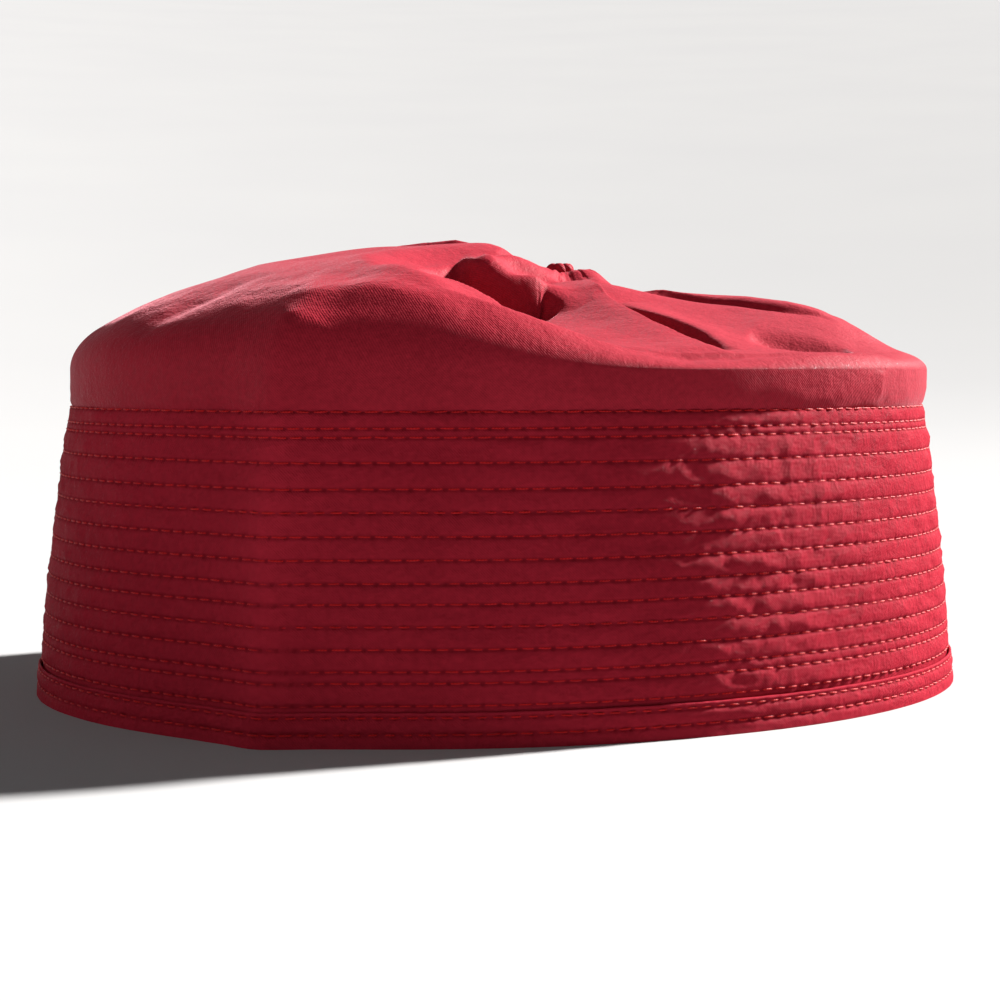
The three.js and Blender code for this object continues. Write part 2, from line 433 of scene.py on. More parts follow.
def add_node(
    tree: bpy.types.NodeTree,
    kind: str,
    settings: dict[str, object] | None = None,
    inputs: dict[int | str, object] | None = None,
) -> bpy.types.Node:
    """Adds one node to a tree.

    Args:
        tree: The tree.
        kind: The node's type.
        settings: Its own settings, which are set first.
        inputs: What goes into its sockets: a socket is linked and anything else is a value.

    Returns:
        The node.
    """
    made = tree.nodes.new(kind)
    for key, value in (settings or {}).items():
        setattr(made, key, value)
    for key, value in (inputs or {}).items():
        if isinstance(value, bpy.types.NodeSocket):
            tree.links.new(value, made.inputs[key])
        else:
            made.inputs[key].default_value = value
    return made


class Signal:
    """A value inside a material, which Python's operators work on through Math nodes."""

    def __init__(self, tree: "MaterialTree", socket: bpy.types.NodeSocket) -> None:
        """Wraps a node's output socket."""
        self.tree, self.socket = tree, socket

    def math(self, operation: str, *others: "Signal | float") -> "Signal":
        """One Math node on this value and others."""
        inputs = dict(enumerate([self, *others]))
        return self.tree.node("ShaderNodeMath", {"operation": operation}, inputs)

    def __add__(self, other: "Signal | float") -> "Signal":
        """self + other"""
        return self.math("ADD", other)

    __radd__ = __add__

    def __mul__(self, other: "Signal | float") -> "Signal":
        """self * other"""
        return self.math("MULTIPLY", other)

    __rmul__ = __mul__

    def __sub__(self, other: "Signal | float") -> "Signal":
        """self - other"""
        return self.math("SUBTRACT", other)

    def __rsub__(self, other: float) -> "Signal":
        """other - self"""
        inputs = {0: other, 1: self}
        return self.tree.node("ShaderNodeMath", {"operation": "SUBTRACT"}, inputs)

    def between(self, low: float, high: float) -> "Signal":
        """A soft step of this value from 0 at low to 1 at high."""
        settings = {"interpolation_type": "SMOOTHSTEP"}
        return self.tree.node("ShaderNodeMapRange", settings, {0: self, 1: low, 2: high})


class MaterialTree:
    """A material's nodes, built call by call."""

    def __init__(self, name: str) -> None:
        """Starts an empty material.

        Args:
            name: The material's name.
        """
        self.material = bpy.data.materials.new(name)
        self.material.use_nodes = True
        self.material.node_tree.nodes.clear()

    def node(
        self,
        kind: str,
        settings: dict[str, object] | None = None,
        inputs: dict[int | str, object] | None = None,
        output: int | str = 0,
    ) -> Signal:
        """Adds one node.

        Args:
            kind: The node's type.
            settings: Its own settings.
            inputs: What goes into its sockets, signals or values.
            output: The output that is handed back.

        Returns:
            The chosen output.
        """
        given = {k: v.socket if isinstance(v, Signal) else v for k, v in (inputs or {}).items()}
        made = add_node(self.material.node_tree, kind, settings, given)
        return Signal(self, made.outputs[output] if made.outputs else None)

    def blend(self, factor: Signal, low: object, high: object) -> Signal:
        """Two colours mixed by a factor."""
        settings = {"data_type": "RGBA", "clamp_factor": True}
        return self.node("ShaderNodeMix", settings, {0: factor, 6: low, 7: high}, 2)

    def plane(self, vector: Signal, scale: float) -> tuple[Signal, Signal, Signal]:
        """A vector's three parts after scaling.

        Args:
            vector: The vector.
            scale: What it is multiplied by, such as 1 / MM to have millimetres.

        Returns:
            Its x, y and z.
        """
        settings = {"operation": "SCALE"}
        scaled = self.node("ShaderNodeVectorMath", settings, {0: vector, "Scale": scale})
        made = self.node("ShaderNodeSeparateXYZ", None, {0: scaled})
        parts = made.socket.node.outputs
        return Signal(self, parts[0]), Signal(self, parts[1]), Signal(self, parts[2])

    def grain(self, vector: Signal, scale: float, detail: float = 2) -> Signal:
        """Fine noise on a vector, from 0 to 1."""
        inputs = {"Vector": vector, "Scale": scale, "Detail": detail}
        return self.node("ShaderNodeTexNoise", {"noise_dimensions": "3D"}, inputs)

    def close(self, shader: Signal) -> bpy.types.Material:
        """Ends the material in its output."""
        self.node("ShaderNodeOutputMaterial", None, {"Surface": shader})
        return self.material


@dataclass(frozen=True)
class ClothFinish:
    """Red cotton sateen: a fine twill with a soft sheen.

    The deep colour is painted shade along the sewn rows and in the stitch holes. The bright one
    is the paler tone, which also paints light where the paleness level is high.
    """

    name: str
    quilted: bool
    deep: tuple[float, float, float, float] = (0.11, 0.002, 0.005, 1)
    body: tuple[float, float, float, float] = (0.185, 0.007, 0.015, 1)
    bright: tuple[float, float, float, float] = (0.38, 0.019, 0.036, 1)
    twill: float = 0.52
    roughness: float = 0.6
    specular: float = 0.01
    sheen: float = 0.0
    sheen_roughness: float = 0.32
    sheen_tint: tuple[float, float, float, float] = (1.0, 0.42, 0.48, 1)
    crumple: float = 3.0
    relief: float = 0.00036
    # The noises' scales, over a metre
    patch_scale: float = 38.0
    crumple_scale: float = 170.0
    wobble_scale: float = 180.0
    lump_scale: float = 420.0
    slub_scale: float = 900.0
    fleck_scale: float = 1900.0

    def build(self) -> bpy.types.Material:
        """Makes the material.

        Returns:
            The finished material, which reads the maps weave and stitch and the paleness level,
            which holds painted light.
        """
        tree = MaterialTree(self.name)
        place = tree.node("ShaderNodeTexCoord", None, None, "Object")
        cut = tree.node("ShaderNodeUVMap", {"uv_map": "weave"})
        u, v, _ = tree.plane(cut, 1 / MM)
        x, y, z = tree.plane(place, 1 / MM)
        wobble = tree.grain(place, self.wobble_scale, 1) - 0.5
        turn = 2 * math.pi / self.twill
        side_twill = ((u + v + wobble * 0.5) * turn).math("SINE")
        top_twill = ((x * 0.8 + y * 0.6 + z + wobble * 0.5) * turn).math("SINE")
        flat = tree.node("ShaderNodeAttribute", {"attribute_name": "flat"}, None, "Fac")
        twill = side_twill + (top_twill - side_twill) * flat
        slub = tree.grain(place, self.slub_scale, 2)
        fleck = tree.grain(place, self.fleck_scale, 1)
        patch = tree.grain(place, self.patch_scale, 3)
        wear = tree.node("ShaderNodeAttribute", {"attribute_name": "wear"}, None, "Fac")

        # The paleness level lightens the cloth: painted highlight along the pressed creases,
        # painted light on the crown's top, pale blotches and paler hem edges
        tone = (patch - 0.5) * 0.4 + (slub - 0.5) * 0.6 + twill * 0.12 + wear * 0.45 + 0.32
        colour = tree.blend(tone, self.body, self.bright)
        lumps = tree.grain(place, self.lump_scale, 1)
        crumple = tree.grain(place, self.crumple_scale, 2)
        height = twill * 0.2 + slub * 1.5 + fleck * 1.5 + lumps * 1.6 + crumple * self.crumple
        rough = self.roughness + (slub - 0.5) * 0.25 - fleck.between(0.6, 0.72) * 0.22
        if self.quilted:
            sewn = tree.node("ShaderNodeUVMap", {"uv_map": "stitch"})
            count, away, _ = tree.plane(sewn, 1 / MM)
            line = 1 - away.math("ABSOLUTE").between(0.1, 0.75)
            hole = ((count + 0.5) * (2 * math.pi)).math("COSINE").between(0.55, 0.98)
            near = 1 - away.math("ABSOLUTE").between(0.12, 0.5)
            pit = hole * near
            # Painted shade: the cloth darkens towards the deep colour along each sewn row and in
            # the stitch holes
            shade = line * 0.3 + pit * 0.25
            colour = tree.blend(shade, colour, self.deep)
            height = height - pit * 1.0 - line * 0.5
            rough = rough + shade * 0.15
        bump_inputs = {"Strength": 0.5, "Distance": self.relief, "Height": height}
        normal = tree.node("ShaderNodeBump", None, bump_inputs)
        shader = tree.node(
            "ShaderNodeBsdfPrincipled",
            None,
            {
                "Base Color": colour,
                "Roughness": rough,
                "Normal": normal,
                "Specular IOR Level": self.specular,
                "Sheen Weight": self.sheen,
                "Sheen Roughness": self.sheen_roughness,
                "Sheen Tint": self.sheen_tint,
            },
        )
        return tree.close(shader)


@dataclass(frozen=True)
class ThreadFinish:
    """Bright red sewing thread, spun from strands that twist round each other."""

    name: str
    shade: tuple[float, float, float, float] = (0.24, 0.002, 0.004, 1)
    light: tuple[float, float, float, float] = (0.6, 0.012, 0.014, 1)
    roughness: float = 0.42
    specular: float = 0.1
    relief: float = 0.00008
    strands: int = 2
    twists: float = 5.0
    fibre_scale: float = 6000.0
    patch_scale: float = 260.0

    def build(self) -> bpy.types.Material:
        """Makes the material.

        Returns:
            The finished material, which reads the levels along and around.
        """
        tree = MaterialTree(self.name)
        place = tree.node("ShaderNodeTexCoord", None, None, "Object")
        along = tree.node("ShaderNodeAttribute", {"attribute_name": "along"}, None, "Fac")
        around = tree.node("ShaderNodeAttribute", {"attribute_name": "around"}, None, "Fac")
        wound = along * self.twists + around * self.strands
        strand = (wound * (2 * math.pi)).math("SINE") * 0.5 + 0.5
        fibre = tree.grain(place, self.fibre_scale, 2)
        patch = tree.grain(place, self.patch_scale, 1)
        tone = strand * 0.55 + fibre * 0.4 + (patch - 0.5) * 0.5
        colour = tree.blend(tone, self.shade, self.light)
        rough = self.roughness + (fibre - 0.5) * 0.2
        inputs = {"Strength": 0.6, "Distance": self.relief, "Height": strand + fibre * 0.5}
        normal = tree.node("ShaderNodeBump", None, inputs)
        shader = tree.node(
            "ShaderNodeBsdfPrincipled",
            None,
            {
                "Base Color": colour,
                "Roughness": rough,
                "Normal": normal,
                "Specular IOR Level": self.specular,
            },
        )
        return tree.close(shader)


@dataclass(frozen=True)
class Finishes:
    """The cap's materials, made once."""

    quilted: bpy.types.Material
    soft: bpy.types.Material
    thread: bpy.types.Material


# The band


@dataclass(frozen=True)
class Press:
    """A faint ridge pressed or rubbed into the band, between two places on it.

    A place is an angle and a height. The ridge stands out by rise and falls off within spread
    degrees.
    """

    low: tuple[float, float]
    high: tuple[float, float]
    rise: float
    spread: float

    def lift(self, angle: np.ndarray, height: float) -> np.ndarray:
        """How far the ridge stands out.

        Args:
            angle: Angles round the cap.
            height: The height above the surface.

        Returns:
            The distance out at each angle.
        """
        share = (height - self.low[1]) / (self.high[1] - self.low[1])
        if not 0 < share < 1:
            return 0 * angle
        middle = self.low[0] + (self.high[0] - self.low[0]) * share
        away = np.hypot(turn_between(angle, middle), 0.25) / self.spread
        return self.rise * np.exp(-away) * math.sin(math.pi * share) ** 0.4


@dataclass
class Band:
    """The quilted band: a wall of cloth drawn in at each sewn row and puckered between them."""

    plan: CapPlan
    sewing: Sewing
    columns: int = 768
    wall: float = 2.4
    foot: float = 1.1
    hem_top: float = 7.1
    groove: float = 0.3
    full_gap: float = 3.4
    wide_gap: float = 3.2
    ripple_height: float = 60.0
    puff_power: float = 0.45
    pucker: float = 0.32
    small_share: float = 0.75
    fine_share: float = 0.4
    wrinkle: float = 0.2
    pull: float = 0.13
    rest_pull: float = 0.35
    pull_reach: float = 0.9
    behind_hem: float = 0.6
    row_depth: float = 1.0
    edge_drop: float = 0.35
    sway: float = 0.35
    inside_sink: float = 0.3
    # Each press: its lower and upper place, its rise and its spread
    presses: tuple[Press, ...] = (
        Press((222.4, 1), (218.3, 32), 0.45, 1.3),
        Press((284.5, 34), (285.5, 56), 0.35, 0.7),
        Press((289.5, 36), (290, 55), 0.4, 0.7),
        Press((299, 20), (298, 44), 0.25, 0.9),
        Press((236, 22), (237, 41), 0.2, 1.0),
        Press((38, 4), (38, 30), 0.3, 1.4),
        Press((128, 18), (127, 47), 0.3, 0.9),
        Press((71, 30), (73, 55), 0.25, 0.8),
        Press((337, 8), (338, 33), 0.25, 0.8),
    )

    def __post_init__(self) -> None:
        """Lays out the columns and the seeded ripples."""
        self.angles = self.plan.columns(self.columns)
        self.turn = np.linspace(0, 1, self.columns + 1)
        self.rows = self.sewing.rows(self.plan, False, self.columns)
        strips = len(self.rows) * 2
        self.puckers = Ripples(7, 118, strips)
        self.small_puckers = Ripples(8, 205, strips * 2)
        self.fine_puckers = Ripples(11, 330, strips * 3)
        self.wrinkles = Ripples(9, 74, 4)
        self.waves = Ripples(10, 11, 3)

    def sway_at(self, height: np.ndarray) -> np.ndarray:
        """The band's slow waves out of its oval, which the hem and the crown share."""
        share = height / self.plan.band_height
        return self.sway * self.waves.at(self.turn, share) * (0.3 + 0.7 * share)

    def path(self, height: float, inset: float) -> np.ndarray:
        """A line round the band at a height and a depth in from its own outline."""
        drawn = self.plan.lean(height) + inset - self.sway_at(np.array(height))
        return self.plan.point(self.angles, drawn, height)

    def _strip(self, low: StitchRow, high: StitchRow, t: float) -> tuple[float, np.ndarray]:
        """The outside between two sewn rows.

        Args:
            low: The row below.
            high: The row above.
            t: The share of the way from the one to the other.

        Returns:
            The height and the inset from the leaning outline at each column.
        """
        plan, gap = self.plan, high.height - low.height
        height = low.height + gap * t
        swell = min(1.0, gap / self.full_gap)
        puff = math.sin(math.pi * t) ** self.puff_power
        rise = np.array(height / plan.band_height)
        rough = self.pucker * self.puckers.at(self.turn, rise)
        rough = rough + self.small_share * self.pucker * self.small_puckers.at(self.turn, rise)
        rough = rough + self.fine_share * self.pucker * self.fine_puckers.at(self.turn, rise)
        rough = rough + self.wrinkle * self.wrinkles.at(self.turn, rise)
        inset = plan.hem_proud + self.groove * (1 - swell * puff) + 0.05
        inset = inset - rough * math.sin(math.pi * t) * swell
        for press in self.presses:
            inset = inset - press.lift(self.angles, height)
        for row, away in ((low, t * gap), (high, (1 - t) * gap)):
            pull = self.sewing.pull(self.path(row.height, self.row_depth), row.start)
            near = math.exp(-((away / self.pull_reach) ** 2))
            inset = inset + self.pull * (pull - self.rest_pull) * near
        return height, inset + 0 * self.turn

    def _outline(self) -> list[tuple[float, np.ndarray, StitchRow]]:
        """The band's section, from its foot up the outside and down the inside.

        Returns:
            For each ring its height, its inset at each column and the sewn row nearest to it.
        """
        rows, flat = self.rows, 0 * self.turn
        behind = self.plan.hem_proud + self.behind_hem + flat
        under_hem = (self.foot, 0.5 * (self.foot + self.hem_top), self.hem_top - 0.3)
        outline = [(height, behind, rows[0]) for height in under_hem]
        for low, high in zip(rows[:-1], rows[1:]):
            steps = 6 if high.height - low.height > self.wide_gap else 4
            for k in range(steps):
                t = 0.5 - 0.5 * math.cos(math.pi * k / steps)
                nearest = low if k + 0.5 < steps / 2 else high
                outline.append((*self._strip(low, high, t), nearest))
        # Over the top edge
        top = rows[-1]
        height, inset = self._strip(rows[-2], top, 1.0)
        for rise, more in ((0.0, 0.0), (0.25, 0.35), (0.1, 1.1), (-0.2, self.wall - 0.45)):
            outline.append((height + rise, inset + more, top))
        # Down the inside: a ring at each row, and a looser one below it
        inner = self.plan.hem_proud + self.wall
        for low, high in zip(rows[-2::-1], rows[:0:-1]):
            half = low.height + (high.height - low.height) * 0.5
            share = np.array(half / self.ripple_height)
            rough = 0.5 * self.pucker * self.puckers.at(self.turn, share)
            drop = self.edge_drop if high is top else 0
            outline.append((high.height - drop, inner - self.inside_sink + flat, high))
            outline.append((half, inner - rough + flat, high))
        for height in (rows[0].height, self.hem_top - 0.4, self.foot):
            outline.append((height, inner + flat, rows[0]))
        return outline

    def build(self) -> bpy.types.Object:
        """Makes the band.

        Returns:
            The band's object.
        """
        plan = self.plan
        heights, insets, nearest = zip(*self._outline())
        heights, insets = np.array(heights), np.array(insets)
        drawn = plan.lean(heights)[:, None] + insets
        drawn = drawn - np.array([self.sway_at(np.array(h)) for h in heights])
        rings = plan.point(self.angles, drawn, heights[:, None])
        skin = Skin("band_cloth", rings)
        steps = np.abs(np.diff(heights)) + np.abs(np.diff(insets.mean(axis=1)))
        up = np.concatenate([[0], np.cumsum(steps)])
        skin.maps["weave"] = ring_map(length_along(rings[0]), up, True)
        paths = [self.path(row.height, self.row_depth) for row in nearest]
        skin.maps["stitch"] = self.sewing.stitch_map(paths, list(nearest), heights)
        skin.levels["wear"] = self._paleness_and_highlight(heights)
        skin.levels["flat"] = np.zeros((1, 1))
        return skin.build()

    def _paleness_and_highlight(self, heights: np.ndarray) -> np.ndarray:
        """Where the cloth is paler: painted highlight along the pressed creases, and pale blotches
        that follow the wrinkles.

        Args:
            heights: The rings' heights.

        Returns:
            A level by ring and column, highest along the pressed creases.
        """
        # Painted highlight: the pressed creases are paler, as their ridges catch the light
        crease = self.plan.crease_share(self.angles) ** 3
        blotch = self.wrinkles.at(self.turn[None], heights[:, None] / self.ripple_height) * 0.12
        return crease[None] * 0.5 + blotch + 0.1


# The hem


@dataclass
class Hem:
    """The turned strip that binds the band's lower edge, with its two sewn rows."""

    plan: CapPlan
    sewing: Sewing
    band: Band
    wall: float = 0.8
    gap: float = 0.3
    sink: float = 0.32
    sink_reach: float = 0.62
    rest_sink: float = 0.75
    pulled_sink: float = 0.4
    inside_sink: float = 0.25
    pucker: float = 0.13

    def __post_init__(self) -> None:
        """Lays out the rows and the seeded ripples."""
        self.rows = self.sewing.rows(self.plan, True, self.band.columns)
        self.puckers = Ripples(17, 130, 6)
        self.small_puckers = Ripples(18, 230, 8)

    def path(self, height: float, inset: float) -> np.ndarray:
        """A line round the hem at a height and a depth in from its own outline."""
        drawn = self.plan.lean(height) + inset - self.band.sway_at(np.array(height))
        return self.plan.point(self.band.angles, drawn, height)

    def inner(self) -> float:
        """How far in the hem's strip behind the band starts."""
        return self.plan.hem_proud + self.band.wall + self.gap

    def _outside(self, height: float) -> np.ndarray:
        """The hem's outer face.

        Args:
            height: The height above the surface.

        Returns:
            Its inset at each column.
        """
        turn = self.band.turn
        inset = 0.0 * turn
        for row in self.rows:
            away = abs(height - row.height)
            pull = self.sewing.pull(self.path(row.height, self.band.row_depth), row.start)
            near = math.exp(-((away / self.sink_reach) ** 2))
            inset = inset + self.sink * (self.rest_sink + self.pulled_sink * pull) * near
        share = height / self.plan.hem_height
        loose = math.sin(math.pi * min(1.0, max(0.0, share))) ** 0.5
        inset = inset - self.pucker * self.puckers.at(turn, np.array(share)) * loose
        return inset - 0.5 * self.pucker * self.small_puckers.at(turn, np.array(share)) * loose

    def _outline(self) -> list[tuple[np.ndarray, np.ndarray]]:
        """The hem's section, from its lower edge up the outside and back behind the band.

        Returns:
            For each ring its height and its inset at each column.
        """
        wall, top, inner = self.wall, self.plan.hem_height, self.inner()
        outline = [(0.0, wall + 0.1), (0.12, 0.42)]
        for height in np.linspace(0.45, top - 0.45, 21).tolist():
            outline.append((height, self._outside(height)))
        ruffle = 0.07 * self.small_puckers.at(self.band.turn, np.array(0.9))
        outline += [
            (top - 0.12 + ruffle, 0.16),
            (top + 0.02 + ruffle, 0.42),
            (top - 0.1 + ruffle, 0.7),
            (top - 0.5, wall),
            (2.2, wall),
            (wall, wall),
            (wall, inner),
            (top - 0.6, inner),
            (top - 0.1, inner + 0.1),
            (top, inner + 0.4),
            (top - 0.15, inner + 0.7),
        ]
        for height in np.linspace(top - 0.5, 0.5, 9).tolist():
            sunk = sum(math.exp(-(((height - row.height) / 0.8) ** 2)) for row in self.rows)
            outline.append((height, inner + wall - self.inside_sink * sunk))
        outline += [(0.1, inner + 0.45), (0.0, inner)]
        flat = 0 * self.band.turn
        return [(height + flat, inset + flat) for height, inset in outline]

    def build(self) -> bpy.types.Object:
        """Makes the hem.

        Returns:
            The hem's object.
        """
        plan, top = self.plan, self.plan.hem_height
        heights, insets = np.array(self._outline()).transpose(1, 0, 2)
        sway = np.array([self.band.sway_at(np.array(h.mean())) for h in heights])
        rings = plan.point(self.band.angles, plan.lean(heights) + insets - sway, heights)
        rings[..., 2] = np.maximum(rings[..., 2], 0)
        skin = Skin("hem_cloth", rings)
        mean = np.stack([heights.mean(axis=1), insets.mean(axis=1)], axis=-1)
        up = length_along(mean)
        skin.maps["weave"] = ring_map(length_along(rings[3]), up + 3.7, True)
        level = mean[:, 0]
        middles = (level + np.roll(level, -1)) / 2
        nearest = [min(self.rows, key=lambda row: abs(row.height - at)) for at in middles]
        paths = [self.path(row.height, self.band.row_depth) for row in nearest]
        skin.maps["stitch"] = self.sewing.stitch_map(paths, nearest, level)
        # Paler along the hem's top edge and along its foot
        pale_hem_top = np.exp(-((level - top) ** 2) / 0.18) * 0.5
        pale_hem_foot = np.exp(-(level**2) / 0.25) * 0.45
        skin.levels["wear"] = (pale_hem_top + pale_hem_foot)[:, None] + 0.12
        skin.levels["flat"] = np.zeros((1, 1))
        return skin.build()


# The crown


@dataclass(frozen=True)
class Pleat:
    """A pleat that runs out from the knot, and the side that its folded edge faces."""

    from_angle: float
    from_share: float
    to_angle: float
    to_share: float
    height: float
    slope: float
    faces: int


@dataclass(frozen=True)
class Fold:
    """A soft ridge, or a valley where the height is negative, along a line on the crown.

    The line's places are angles and shares of the way from the knot to the shoulder. Its left
    side, seen along it from above, falls off within steep, its right side within gentle. The
    crest leans over towards the left by lean. With levels the height follows them from place to
    place, and without them it rises and falls off at the line's two ends.
    """

    line: tuple[tuple[float, float], ...]
    height: float
    steep: float
    gentle: float
    lean: float = 0.0
    levels: tuple[float, ...] = ()


@dataclass
class Crown:
    """The unstitched crown: an upright wall that rolls over the shoulder into the pleated top."""

    plan: CapPlan
    band: Band
    columns: int = 600
    rings: int = 130
    inner_rings: int = 14
    foot: float = 59.1
    seam: float = 0.35
    wall_rise: float = 7.2
    wall_bulge: float = 0.6
    wall_crease: float = 0.5
    wall_crease_angle: float = 305.5
    wall_crease_spread: float = 1.6
    slack: float = 1.0
    slack_angle: float = 154.0
    slack_spread: float = 42.0
    dome_rise: float = 28.0
    gather_rise: float = 20.7
    gather_across: float = 9.0
    gather_depth: float = 0.4
    fine_gather_depth: float = 0.15
    soft_depth: float = 0.42
    soft_sink: float = 0.75
    crease_depth: float = 0.12
    fold_drop: float = 7.0
    drop_before: float = 0.3
    front_fullness: float = 1.1
    front_angle: float = 226.0
    front_spread: float = 17.0
    front_sink: float = 0.06
    lap_share: float = 0.31
    lap_spread: float = 0.07
    lap_closeness: float = 3.5
    nudge: float = 0.6
    pleat_height: float = 3.4
    cloth: float = 1.0
    knot: tuple[float, float] = (12.9, -0.7)
    section_shares: tuple[float, ...] = (0.15, 0.35, 0.55, 0.75, 0.92)
    # One row each 30 degrees: fullness at the five shares, and on the near side of the fold line
    sections: tuple[tuple[float, ...], ...] = (
        (0.6, 0.61, 0.65, 0.69, 0.54, 0.66),
        (0.62, 0.62, 0.64, 0.67, 0.62, 0.7),
        (0.7, 0.72, 0.73, 0.74, 0.72, 0.77),
        (0.8, 0.85, 0.85, 0.84, 0.82, 0.86),
        (0.9, 0.95, 0.94, 0.93, 0.89, 0.94),
        (0.95, 1.01, 1, 0.95, 0.88, 0.98),
        (0.93, 1.01, 1.01, 0.96, 0.9, 0.98),
        (0.66, 0.42, 0.44, 0.5, 0.6, 0.98),
        (0.66, 0.44, 0.38, 0.38, 0.4, 0.9),
        (0.64, 0.48, 0.37, 0.3, 0.26, 0.2),
        (0.65, 0.53, 0.42, 0.33, 0.3, 0.3),
        (0.6, 0.6, 0.62, 0.61, 0.43, 0.6),
    )
    fold_shares: tuple[float, ...] = (0.08, 0.2, 0.32, 0.45, 0.56, 0.67, 0.79, 0.86, 0.9, 0.95)
    fold_angles: tuple[float, ...] = (230, 216, 209, 212, 219, 227, 238, 244, 257, 288)
    pleats: tuple[Pleat, ...] = (
        Pleat(268, 0.1, 277, 0.93, 0.9, 26, 1),
        Pleat(334, 0.12, 326, 0.72, 0.8, 30, -1),
        Pleat(12, 0.1, 22, 0.7, 0.7, 28, 1),
        Pleat(58, 0.1, 66, 0.65, 0.8, 32, 1),
        Pleat(100, 0.1, 110, 0.7, 0.7, 32, 1),
        Pleat(142, 0.1, 150, 0.6, 0.8, 32, 1),
    )
    # Each fold: its line of angles and shares, its height, its steep and gentle sides, its lean
    folds: tuple[Fold, ...] = (
        # The front roll's crest, and the lapped pleat and hollow behind it
        Fold(
            ((206, 0.42), (216, 0.52), (226, 0.65), (236, 0.77), (243, 0.85), (256, 0.9)),
            0.7, 2.5, 7, 1.2,
        ),
        Fold(((214, 0.86), (226, 0.89), (238, 0.93)), 1.1, 4, 3),
        Fold(
            (
                (209, 0.31), (213, 0.3), (218, 0.29), (224, 0.28), (231, 0.27), (239, 0.26),
                (246, 0.27), (252, 0.31), (258, 0.37),
            ),
            1.0, 3.8, 2.4, -0.6, (0, 2.4, 6.0, 7.0, 6.0, 4.4, 2.6, 1.1, 0),
        ),
        Fold(
            ((211, 0.37), (218, 0.35), (227, 0.33), (236, 0.32), (243, 0.33), (250, 0.36)),
            -4.0, 2.6, 4.0,
        ),
        # The pleat that runs to the front shoulder, and the hollow beyond its edge
        Fold(((268, 0.12), (268, 0.25), (271, 0.5), (275, 0.75), (278, 0.93)), 0.8, 1.4, 7, 0.9),
        Fold(((275, 0.3), (278, 0.45), (280, 0.62), (281, 0.82)), -2.4, 2.2, 2.6),
        Fold(((280, 0.3), (284, 0.45), (286, 0.6), (284, 0.8)), 1.5, 6.5, 1.6),
        # The thin pleat under the skyline on the right, and the dent in front of it
        Fold(((329, 0.22), (326, 0.4), (324, 0.56), (325, 0.74)), -1.5, 1.5, 1.7),
        Fold(((298, 0.66), (303, 0.76), (308, 0.88)), -2.6, 3.5, 5.5),
        Fold(((352, 0.1), (334, 0.2), (331, 0.35), (331, 0.6)), -0.95, 4, 4),
        Fold(((271, 0.96), (284, 0.945), (298, 0.945), (312, 0.93)), 1.0, 3.5, 3.5),
        # Soft folds of the left shoulder
        Fold(((217, 0.66), (219, 0.8), (220, 0.95)), -1.3, 5, 5),
        Fold(((197, 0.72), (195, 0.86), (193, 0.98)), -1.0, 4.5, 5),
        Fold(((170, 0.6), (176, 0.8), (178, 0.98)), -0.8, 5, 6),
        # Creases beside the knot
        Fold(((256, 0.03), (285, 0.05), (320, 0.09)), -0.5, 0.8, 0.9),
        Fold(((262, 0.0), (290, 0.03), (320, 0.04), (350, 0.03)), 1.4, 3, 3),
        Fold(((203, 0.14), (222, 0.12), (236, 0.1), (252, 0.09)), -1.7, 3.2, 3.2),
        Fold(((206, 0.05), (212, 0.13), (209, 0.22)), -0.6, 0.8, 1.0),
        # The side that faces away, as loosely folded as the front
        Fold(((20, 0.2), (28, 0.5), (24, 0.85)), -1.6, 3, 5),
        Fold(((62, 0.2), (70, 0.5), (80, 0.85)), -1.3, 4, 4),
        Fold(((105, 0.25), (98, 0.55), (104, 0.9)), -1.5, 3, 6),
        Fold(((145, 0.2), (150, 0.5), (140, 0.85)), -1.2, 5, 4),
        Fold(((45, 0.95), (60, 0.93), (78, 0.95)), 0.8, 3, 4),
        Fold(((120, 0.94), (135, 0.92), (150, 0.95)), 0.8, 3, 4),
    )

    def __post_init__(self) -> None:
        """Lays out the columns and the seeded ripples."""
        fine = np.linspace(0, 360, 3601)
        closeness = 1 + 0.9 * smoothstep(fine, 178, 190) * smoothstep(-fine, -338, -326)
        run = np.cumsum(closeness) - closeness[0]
        self.angles = np.interp(np.linspace(0, run[-1], self.columns + 1), run, fine)
        self.gathers = Ripples(27, 34, 4)
        self.fine_gathers = Ripples(28, 61, 6)
        self.softness = Ripples(29, 22, 9)
        self.creases = Ripples(30, 96, 30)

    def gather_level(self) -> float:
        """The height of the gathers."""
        return self.foot + self.wall_rise + self.gather_rise

    def _sway(self, angle: np.ndarray) -> np.ndarray:
        """The band's slow waves at its top, at any angle."""
        top = self.band.sway_at(np.array(self.plan.band_height))
        return np.interp(angle % 360, self.band.angles, top)

    def _bulge(self, angle: np.ndarray) -> np.ndarray:
        """How far the wall's top stands out: less at the left, where the cloth hangs slack."""
        away = turn_between(angle, self.slack_angle) / self.slack_spread
        return self.wall_bulge - self.slack * np.exp(-(away**2))

    def _column(self, angle: np.ndarray, column: int) -> np.ndarray:
        """One column of the sections, read smoothly round the cap.

        Args:
            angle: Angles round the cap.
            column: The column.

        Returns:
            The fullness at each angle.
        """
        levels = np.array(self.sections)[:, column]
        at = (angle % 360) / 30
        low = np.floor(at).astype(int)
        pick = [levels[(low + k) % len(levels)] for k in (-1, 0, 1, 2)]
        return smooth_through(*pick, at - low)

    def _roll(self, angle: np.ndarray, share: np.ndarray, length: np.ndarray) -> np.ndarray:
        """How much of the front's roll is there.

        Args:
            angle: Angles round the cap.
            share: Shares of the way from the gathers to the shoulder.
            length: The length of that way.

        Returns:
            A share at each point, 1 up to the fold line and 0 past its drop.
        """
        turns = np.array(self.fold_angles, float).reshape(-1, *[1] * share.ndim)
        past = turn_between(angle, read_by_share(self.fold_shares, turns, share))
        beyond = np.radians(past) * share * length / self.fold_drop
        opening = smoothstep(angle % 360, 150, 185)
        before = self.drop_before * smoothstep(beyond, -2.2, 0)
        past = (1 - self.drop_before) * smoothstep(beyond, -0.1, 1.1)
        return opening * (1 - before - past)

